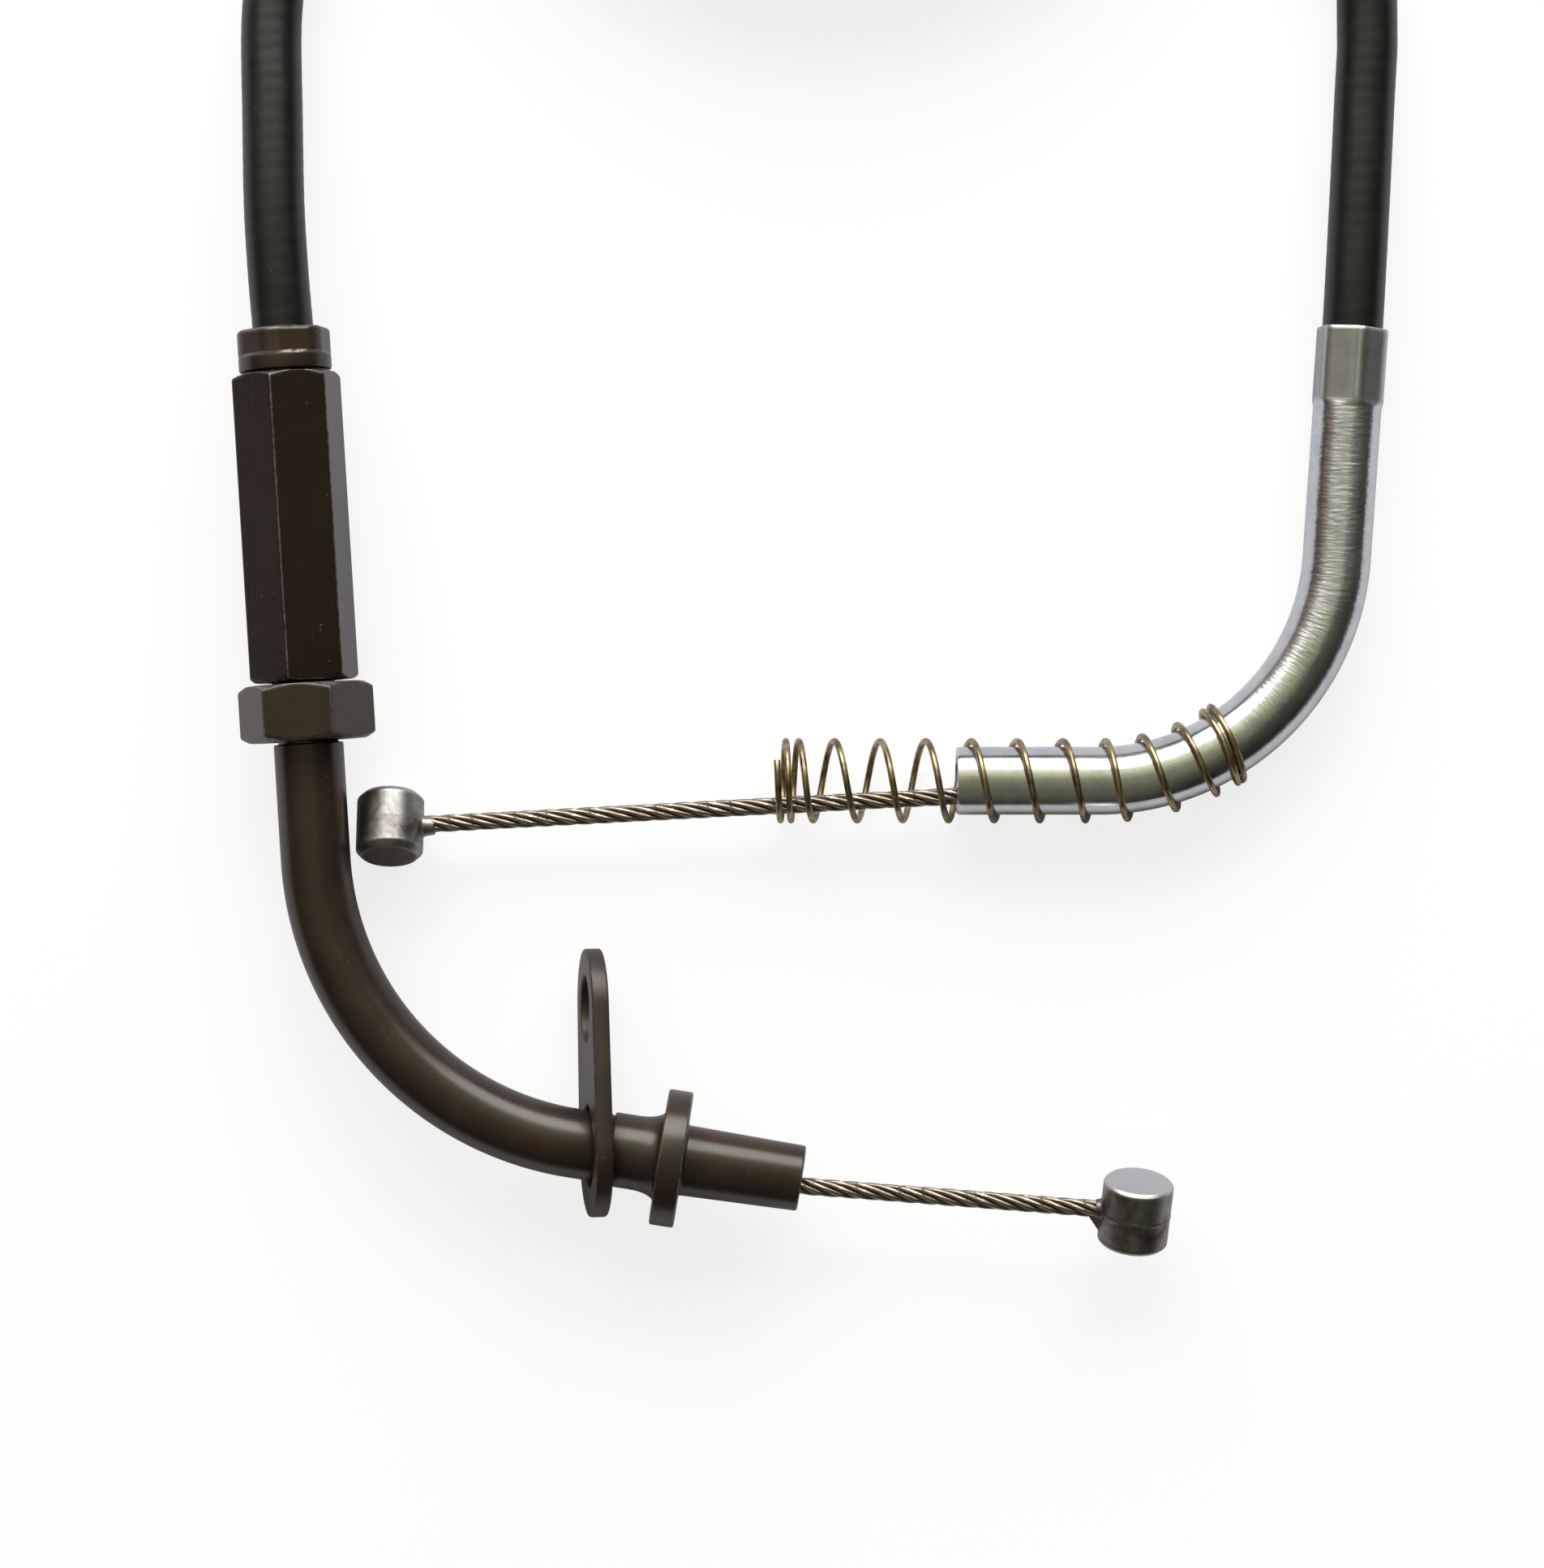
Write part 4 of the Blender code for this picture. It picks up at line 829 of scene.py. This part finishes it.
def band_skin(place):
    """The band as a closed loop of small rounded sections."""
    half = TIE_WIDTH / 2
    section = [(0, -half + 0.12), (0, half - 0.12), (0.2, half), (0.8, half), (1, half - 0.12)]
    section += [(1, -half + 0.12), (0.8, -half), (0.2, -half)]
    rings = []
    for low, high in zip(bundle_outline(0.06), bundle_outline(TIE_THICKNESS - 0.02)):
        rings.append([(*(low + (high - low) * share), aside) for share, aside in section])
    rings = np.array(rings)[:, :, [0, 2, 1]]
    return moved(place, rings), rings, 0.0, True


def head_skin(place):
    """The tie's head, a small block with eased edges on the inside of the coil."""
    inner = BUNDLE_RADIUS - BUNDLE_HALF - TIE_THICKNESS + 0.2
    middle = BUNDLE_FLOOR + BUNDLE_HALF
    rings = []
    for depth, grow in ((0, -0.25), (0.08, -0.07), (0.25, 0), (2.2, 0), (2.45, -0.07), (2.55, -0.25)):
        corners = rounded_box(HEAD_WIDTH, HEAD_HEIGHT, HEAD_RADIUS + grow, 5)
        rings.append([(inner - depth, x, middle + z) for x, z in corners])
    rings = np.array(rings)
    return moved(place, rings), rings, 0.0, False


ties = []
for number, angle in enumerate(TIE_ANGLES, 1):
    place = Matrix.Translation((*COIL_CENTRE, 0)) @ Matrix.Rotation(math.radians(angle), 4, "Z")
    skins = [band_skin(place), head_skin(place)]
    ties.append(make_piece(f"tie_{number}", skins, "casing", [f"coil_tie_{number}"]))

# %% [markdown]
# ## A free cord
#
# The casing is the one free cord.

# %% [markdown]
# ## Colours and nodes
#
# Colours are written as they look on a screen, and one function turns them into the linear values
# that Blender computes with. Another adds a node with its settings and its links in one line, so that
# each material below reads as a list of what it does.

# %% Colour and node helpers
def linear(hex_colour):
    """An sRGB colour such as #8f8884 as linear red, green, blue and alpha."""
    values = [int(hex_colour[i : i + 2], 16) / 255 for i in (1, 3, 5)]
    return (*(v / 12.92 if v <= 0.04045 else ((v + 0.055) / 1.055) ** 2.4 for v in values), 1.0)


def node_adder(tree):
    """Empties a node tree and returns the one function that adds nodes to it."""
    tree.nodes.clear()

    def add(kind, *values, **named):
        """A node. Values go to its first inputs, names to inputs or, in small letters, to settings."""
        node = tree.nodes.new("ShaderNode" + kind)
        for name in [name for name in named if name.islower()]:
            setattr(node, name, named.pop(name))
        free = [socket for socket in node.inputs if socket.enabled]
        by_name = {socket.name.replace(" ", "_"): socket for socket in reversed(free)}
        for socket, value in [*zip(free, values), *((by_name[name], value) for name, value in named.items())]:
            if isinstance(value, bpy.types.Node):
                value = next(output for output in value.outputs if output.enabled)
            if isinstance(value, bpy.types.NodeSocket):
                tree.links.new(value, socket)
            else:
                socket.default_value = value
        return node

    return add


def new_material(name):
    """An empty material and the function that adds its nodes."""
    material = bpy.data.materials.new(name)
    material.use_nodes = True
    return material, node_adder(material.node_tree)


def new_finish(name):
    """An empty material, with the straightened position and the wear that the pieces carry."""
    material, add = new_material(name)
    lay = add("Attribute", attribute_name="lay").outputs["Vector"]
    wear = add("Attribute", attribute_name="wear").outputs["Fac"]
    return material, add, lay, wear


def give(material, *pieces):
    """Makes the material the only one of the pieces."""
    for piece in pieces:
        piece.data.materials.clear()
        piece.data.materials.append(material)


def set_ramp(node, stops):
    """Colour stops of (position, hex colour) on a Color Ramp."""
    elements = node.color_ramp.elements
    while len(elements) < len(stops):
        elements.new(0.5)
    for element, (position, colour) in zip(elements, stops):
        element.position = position
        element.color = linear(colour)
    return node


# %% [markdown]
# ## Blackened steel
#
# Steel parts are blackened in a hot salt bath, which turns their skin to dark iron oxide, and then
# oiled. The oxide isn't a metal: it has a brown body, redder where the bath was uneven, and under its
# oil a shine that is nearly colourless, with an index of refraction of about 1.6. It is thin, so edges
# and specks rub through to bare steel first. The fine lines come from how each part was made: drawn bar
# and tube have them along their length, turned parts round it. Real ones are 0.02 to 0.05 mm wide.
# They are drawn at 0.12 mm here, or the render couldn't show them.

# %% Blackened steel
LINE_WIDTH = 0.12
BLACK_TONES = [(0.32, "#291e17"), (0.5, "#2e231a"), (0.6, "#32271c"), (0.72, "#371c16")]
BAR_TONES = [(0.32, "#1a0f0c"), (0.5, "#1f130e"), (0.6, "#21160f"), (0.72, "#2a100c")]
OXIDE_IOR = 1.62
OXIDE_SHINE = "#fdf6ea"


def blackened_steel(name, grain, roughness, tones=BLACK_TONES):
    """Black oxide on steel. The grain is how often its lines repeat per mm on each straightened axis."""
    material, add, lay, wear = new_finish(name)
    patches = add("TexNoise", lay, Scale=0.22, Detail=3.0, Roughness=0.55)
    tones = set_ramp(add("ValToRGB", patches), tones)
    stretched = add("VectorMath", lay, grain, operation="MULTIPLY")
    lines = add("TexNoise", stretched, Scale=1.0, Detail=3.0, Roughness=0.6)
    chips = add("TexNoise", lay, Scale=1.7, Detail=4.0, Roughness=0.7)
    rubbed = add("Math", wear, chips, operation="MULTIPLY")
    rubbed = add("MapRange", rubbed, From_Min=0.34, From_Max=0.66, To_Max=0.8)
    specks = add("TexNoise", lay, Scale=2.6, Detail=1.0)
    specks = add("MapRange", specks, From_Min=0.76, From_Max=0.82, To_Max=0.55)
    bare = add("Math", rubbed, specks, operation="MAXIMUM")
    colour = add("Mix", bare, tones, linear("#938c86"), data_type="RGBA")
    rough = add("MapRange", lines, To_Min=roughness - 0.07, To_Max=roughness + 0.07)
    bump = add("Bump", Height=lines, Strength=0.55, Distance=0.006 * MM)
    add(
        "OutputMaterial",
        add(
            "BsdfPrincipled",
            Base_Color=colour,
            Metallic=bare,
            IOR=OXIDE_IOR,
            Specular_Tint=linear(OXIDE_SHINE),
            Roughness=rough,
            Normal=bump,
        ),
    )
    return material


drawn = (1 / LINE_WIDTH, 1 / LINE_WIDTH, 0.12)
turned = (0.15, 0.15, 1 / LINE_WIDTH)
rolled = (0.5 / LINE_WIDTH, 0.3, 0.5 / LINE_WIDTH)
bar_black = blackened_steel("blackened_bar_steel", drawn, 0.22, BAR_TONES)
tube_black = blackened_steel("blackened_tube_steel", drawn, 0.27)
turned_black = blackened_steel("blackened_turned_steel", turned, 0.28)
sheet_black = blackened_steel("blackened_sheet_steel", rolled, 0.42)
give(bar_black, sleeve)
give(tube_black, nut, elbow)
give(turned_black, ferrule, fitting)
give(sheet_black, plate)
print("blackened steel on six pieces")

# %% [markdown]
# ## Zinc plate
#
# The bright tube is zinc plated over drawn steel and passivated, which leaves a faint blue. The bend
# wrinkled its skin, in short marks across the tube that are drawn a little coarser and deeper than the
# real ones, to show. Marks like these spread reflections along the tube and leave them sharp round it,
# which is just what an anisotropic shader does, so the tube also carries its direction as an
# attribute. The pressed flats have lost that shine and show the marks of the dies.

# %% Zinc plate
ZINC_TONES = [(0.35, "#c9cccf"), (0.55, "#d9dcde"), (0.7, "#cfcfc6")]


def zinc_plate(name):
    """Bright zinc with bending marks across the tube and a duller crimp."""
    material, add, lay, wear = new_finish(name)
    along = add("SeparateXYZ", lay).outputs["Z"]
    cloud = add("TexNoise", lay, Scale=0.5, Detail=4.0, Roughness=0.6)
    tones = set_ramp(add("ValToRGB", cloud), ZINC_TONES)
    crimped = add("MapRange", along, From_Min=CRIMP_START, From_Max=CRIMP_START + 0.4)
    bent = add("MapRange", along, From_Min=BRIGHT_LEAD + 8, From_Max=BRIGHT_LEAD + 26)
    wrinkled = add("VectorMath", lay, (0.8, 0.8, 3.8), operation="MULTIPLY")
    wrinkles = add("TexNoise", wrinkled, Scale=1.0, Detail=1.5, Roughness=0.5)
    marked = add("Math", bent, crimped, operation="SUBTRACT")
    wrinkles = add("Math", wrinkles, marked, operation="MULTIPLY")
    drawn_lines = add("VectorMath", lay, (7.0, 7.0, 0.1), operation="MULTIPLY")
    scratches = add("TexNoise", drawn_lines, Scale=1.0, Detail=3.0)
    height = add("Math", scratches, 0.15, wrinkles, operation="MULTIPLY_ADD")
    dull = add("Math", bent, 0.12, 0.1, operation="MULTIPLY_ADD")
    dull = add("Math", crimped, 0.1, dull, operation="MULTIPLY_ADD")
    local = add("Attribute", attribute_name="along").outputs["Vector"]
    tangent = add("VectorTransform", local, vector_type="VECTOR", convert_from="OBJECT", convert_to="WORLD")
    spread = add("Math", marked, 0.7, operation="MULTIPLY")
    rough = add("Math", cloud, 0.12, dull, operation="MULTIPLY_ADD")
    shade = add("Math", crimped, 0.6, operation="MULTIPLY")
    greyed = add("Mix", shade, tones, linear("#83847d"), data_type="RGBA")
    shown = add("Math", wear, 0.7, operation="MULTIPLY")
    colour = add("Mix", shown, greyed, linear("#e2e4e2"), data_type="RGBA")
    bump = add("Bump", Height=height, Strength=0.9, Distance=0.055 * MM)
    add(
        "OutputMaterial",
        add(
            "BsdfPrincipled",
            Base_Color=colour,
            Metallic=1.0,
            Roughness=rough,
            Normal=bump,
            Anisotropic=spread,
            Tangent=tangent,
        ),
    )
    return material


straightened = np.empty(len(tube.data.vertices) * 3)
tube.data.attributes["lay"].data.foreach_get("vector", straightened)
_, heading = bright(straightened.reshape(-1, 3)[:, 2])
along = np.stack([np.cos(heading), np.sin(heading), 0 * heading], -1)
tube.data.attributes.new("along", "FLOAT_VECTOR", "POINT").data.foreach_set("vector", along.ravel())
give(zinc_plate("zinc_plated_tube"), tube)
print("zinc plate on the bright elbow")

# %% [markdown]
# ## Yellow plated spring wire
#
# Spring wire is hard drawn and then zinc plated with a yellow passivate, which shines like brass and
# turns brown where it is thin. Bumps run along the wire, as the drawing die leaves them.

# %% Yellow plated spring wire
def yellow_plate(name):
    """Yellow passivated zinc, golden with brown patches."""
    material, add, lay, _ = new_finish(name)
    patches = add("TexNoise", lay, Scale=0.6, Detail=4.0, Roughness=0.65)
    tones = set_ramp(
        add("ValToRGB", patches), [(0.32, "#66564a"), (0.46, "#8e7c61"), (0.6, "#bdaa7e"), (0.72, "#a3936e")]
    )
    lined = add("VectorMath", lay, (12.0, 12.0, 0.3), operation="MULTIPLY")
    lines = add("TexNoise", lined, Scale=1.0, Detail=2.0)
    rough = add("MapRange", lines, To_Min=0.22, To_Max=0.42)
    bump = add("Bump", Height=lines, Strength=0.4, Distance=0.004 * MM)
    add("OutputMaterial", add("BsdfPrincipled", Base_Color=tones, Metallic=1.0, Roughness=rough, Normal=bump))
    return material


give(yellow_plate("yellow_plated_spring_wire"), spring)
print("yellow plate on the spring")

# %% [markdown]
# ## Oiled wire rope
#
# The rope is bright drawn steel. Oil and dust gather in its grooves and turn them brown, and the
# crowns of the strands stay bare. How deep a point lies is its distance from the rope's middle.

# %% Oiled wire rope
def oiled_rope(name):
    """Drawn steel strands, darker in the grooves."""
    material, add, lay, _ = new_finish(name)
    flat = add("VectorMath", lay, (1.0, 1.0, 0.0), operation="MULTIPLY")
    out = add("VectorMath", flat, operation="LENGTH")
    crown = add("MapRange", out, From_Min=0.46, From_Max=0.72)
    dirt = add("TexNoise", lay, Scale=0.9, Detail=4.0, Roughness=0.6)
    clean = add("Math", dirt, 0.5, 0.7, operation="MULTIPLY_ADD")
    clean = add("Math", clean, crown, operation="MULTIPLY")
    tones = set_ramp(add("ValToRGB", clean), [(0.0, "#3d2c22"), (0.45, "#7d6a5b"), (0.95, "#a0968a")])
    rough = add("MapRange", clean, To_Min=0.5, To_Max=0.28)
    fine = add("TexNoise", lay, Scale=9.0, Detail=2.0)
    bump = add("Bump", Height=fine, Strength=0.3, Distance=0.004 * MM)
    add("OutputMaterial", add("BsdfPrincipled", Base_Color=tones, Metallic=1.0, Roughness=rough, Normal=bump))
    return material


give(oiled_rope("oiled_steel_rope"), wire_dark, wire_bright)


def hidden_rope(name):
    """The same rope deep inside the tubes, on the plain CAD solids that nobody sees."""
    material, add = new_material(name)
    place = add("TexCoord").outputs["Object"]
    dirt = add("TexNoise", place, Scale=900.0, Detail=3.0)
    tones = set_ramp(add("ValToRGB", dirt), [(0.3, "#3d2c22"), (0.7, "#8d7c6d")])
    bump = add("Bump", Height=dirt, Strength=0.4, Distance=0.02 * MM)
    add("OutputMaterial", add("BsdfPrincipled", Base_Color=tones, Metallic=1.0, Roughness=0.45, Normal=bump))
    return material


hidden = [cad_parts[name] for name in ("hidden_wire_dark", "hidden_wire_bright")]
give(hidden_rope("oiled_steel_rope_inside"), *hidden)
print("rope finish on the wires")

# %% [markdown]
# ## Cast zinc
#
# Die cast zinc comes out of the mould pale and faintly frosted, with flow marks a millimetre or so
# wide. Each barrel's side has darkened to a blotchy brown grey, and the end where it was cut from its
# sprue has stayed pale. The other end faces away from the window, and painted shade darkens its
# colour for the shadowed card it faces. Handling polishes the rims.

# %% Cast zinc
def cast_zinc(name):
    """Die cast zinc with flow marks, pits, rubbed rims and painted shade on one end."""
    material, add, lay, wear = new_finish(name)
    flow = add("TexNoise", lay, Scale=0.42, Detail=5.0, Roughness=0.65, Distortion=0.6)
    tones = set_ramp(
        add("ValToRGB", flow), [(0.32, "#5c4c40"), (0.45, "#7e7974"), (0.58, "#97958e"), (0.72, "#a9a79c")]
    )
    axial = add("SeparateXYZ", lay).outputs["Z"]
    pale = add("MapRange", axial, From_Min=2.62, From_Max=2.72, To_Max=0.85)
    # Painted shade: the end that faces away from the window is darkened in its colour, for the shadowed card
    # it faces.
    painted_shade_end = add("MapRange", axial, From_Min=-2.3, From_Max=-2.5, To_Max=0.8)
    sided = add("Mix", pale, tones, linear("#dde0e3"), data_type="RGBA")
    sided = add("Mix", painted_shade_end, sided, linear("#57493f"), data_type="RGBA")
    grit = add("TexNoise", lay, Scale=3.5, Detail=4.0, Roughness=0.65)
    polished = add("Math", wear, grit, operation="MULTIPLY")
    colour = add("Mix", polished, sided, linear("#d4d6d6"), data_type="RGBA")
    rough = add("MapRange", grit, To_Min=0.28, To_Max=0.5)
    bump = add("Bump", Height=grit, Strength=0.6, Distance=0.02 * MM)
    add(
        "OutputMaterial", add("BsdfPrincipled", Base_Color=colour, Metallic=1.0, Roughness=rough, Normal=bump)
    )
    return material


give(cast_zinc("die_cast_zinc"), nipple_dark, nipple_bright)
print("cast zinc on the nipples")

# %% [markdown]
# ## Black plastics
#
# The cover is extruded soft PVC, whose index of refraction is 1.54: near black, with a satin shine
# and a fine haze of dust and rub marks along it. The ties are moulded nylon, 1.53, a little glossier.

# %% Black plastics
def black_plastic(name, ior, roughness, grain):
    """Black plastic with a satin skin, a little dust and faint marks."""
    material, add, lay, _ = new_finish(name)
    dust = add("TexNoise", lay, Scale=0.5, Detail=5.0, Roughness=0.6)
    tones = set_ramp(add("ValToRGB", dust), [(0.35, "#0f0d0d"), (0.55, "#131210"), (0.75, "#1b1916")])
    marked = add("VectorMath", lay, grain, operation="MULTIPLY")
    marks = add("TexNoise", marked, Scale=1.0, Detail=4.0, Roughness=0.6)
    scuffs = add("MapRange", marks, From_Min=0.7, From_Max=0.8, To_Max=0.25)
    colour = add("Mix", scuffs, tones, linear("#8a8680"), data_type="RGBA")
    rough = add("MapRange", dust, To_Min=roughness - 0.06, To_Max=roughness + 0.1)
    bump = add("Bump", Height=marks, Strength=0.5, Distance=0.008 * MM)
    add(
        "OutputMaterial",
        add("BsdfPrincipled", Base_Color=colour, Metallic=0.0, IOR=ior, Roughness=rough, Normal=bump),
    )
    return material


give(black_plastic("extruded_black_pvc", 1.54, 0.33, (1.6, 1.6, 0.5)), casing)
give(black_plastic("moulded_black_nylon", 1.53, 0.34, (2.5, 2.5, 2.5)), *ties)
print("black plastic on the casing and the ties")

# %% [markdown]
# ## Floor and light
#
# The cable lay on white card by a window. The window is one broad lamp low over the far edge, with a
# soft glow of the wall beside it. The room is a dim olive grey that darkens towards its right and near
# sides and is reddish at the left. Metal shows its form by what it mirrors, so the dark room matters as
# much as the window, and it is drawn by direction rather than with more lamps. The card is lifted to
# white for the camera and keeps a soft shadow.

# %% Floor and light
WINDOW_SIZE = (1.1, 0.55)
WINDOW_PLACE = (0.0, 0.72, 0.42)
WINDOW_WATTS = 9.5
CARD_HALF = 4

floor_mesh = bpy.data.meshes.new("floor_card")
card_corners = [(x * CARD_HALF, y * CARD_HALF, 0) for x, y in ((-1, -1), (1, -1), (1, 1), (-1, 1))]
floor_mesh.from_pydata(card_corners, [], [(0, 1, 2, 3)])
floor = bpy.data.objects.new("floor_card", floor_mesh)
bpy.context.scene.collection.objects.link(floor)
card, add = new_material("white_card")
seen = add("LightPath")
lit = add("BsdfDiffuse", linear("#eceaf5"))
faint = add("BsdfDiffuse", linear("#8c8c8c"))
glow = add("Emission", linear("#ffffff"), Strength=0.8)
whitened = add("AddShader", faint, glow)
add("OutputMaterial", add("MixShader", seen.outputs["Is Camera Ray"], lit, whitened))
floor_mesh.materials.append(card)

world = bpy.data.worlds.new("room")
world.use_nodes = True
bpy.context.scene.world = world
add = node_adder(world.node_tree)
toward = add("SeparateXYZ", add("TexCoord").outputs["Generated"])
room = set_ramp(
    add("ValToRGB", toward.outputs["Z"]),
    [(0.0, "#4d4845"), (0.14, "#524e4a"), (0.31, "#69685f"), (0.67, "#8e8c7d"), (1.0, "#97957f")],
)
sides = add("MapRange", toward.outputs["X"], From_Min=-1.0)
sides = set_ramp(
    add("ValToRGB", sides),
    [
        (0.0, "#cdb4b4"),
        (0.13, "#ead8d5"),
        (0.23, "#ffffff"),
        (0.6, "#fbfdf4"),
        (0.71, "#a4aaa2"),
        (1.0, "#8c9692"),
    ],
)
room = add("Mix", 1.0, room, sides, data_type="RGBA", blend_type="MULTIPLY")
depth = add("MapRange", toward.outputs["Y"], From_Min=-0.6, From_Max=0.6, To_Min=0.5, To_Max=1.3)
beside = add(
    "MapRange", toward.outputs["Y"], From_Min=0.0, From_Max=0.7, To_Max=2.4, interpolation_type="SMOOTHSTEP"
)
strength = add("Math", depth, beside, operation="ADD")
sky = add("Background", room, Strength=strength)
add("OutputWorld", sky)

window = bpy.data.objects.new("window", bpy.data.lights.new("window", "AREA"))
window.data.shape = "RECTANGLE"
window.data.size, window.data.size_y = WINDOW_SIZE
window.data.energy = WINDOW_WATTS
window.data.color = linear("#f6f9ff")[:3]
window.location = WINDOW_PLACE
window.rotation_euler = (-Vector(WINDOW_PLACE)).to_track_quat("-Z", "Y").to_euler()
window.visible_camera = False
bpy.context.scene.collection.objects.link(window)
print("lit by a window of", WINDOW_SIZE, "m")

# %% [markdown]
# ## View transform
#
# Colours are shown through Blender's Standard view transform.

# %% View transform
bpy.context.scene.view_settings.view_transform = "Standard"
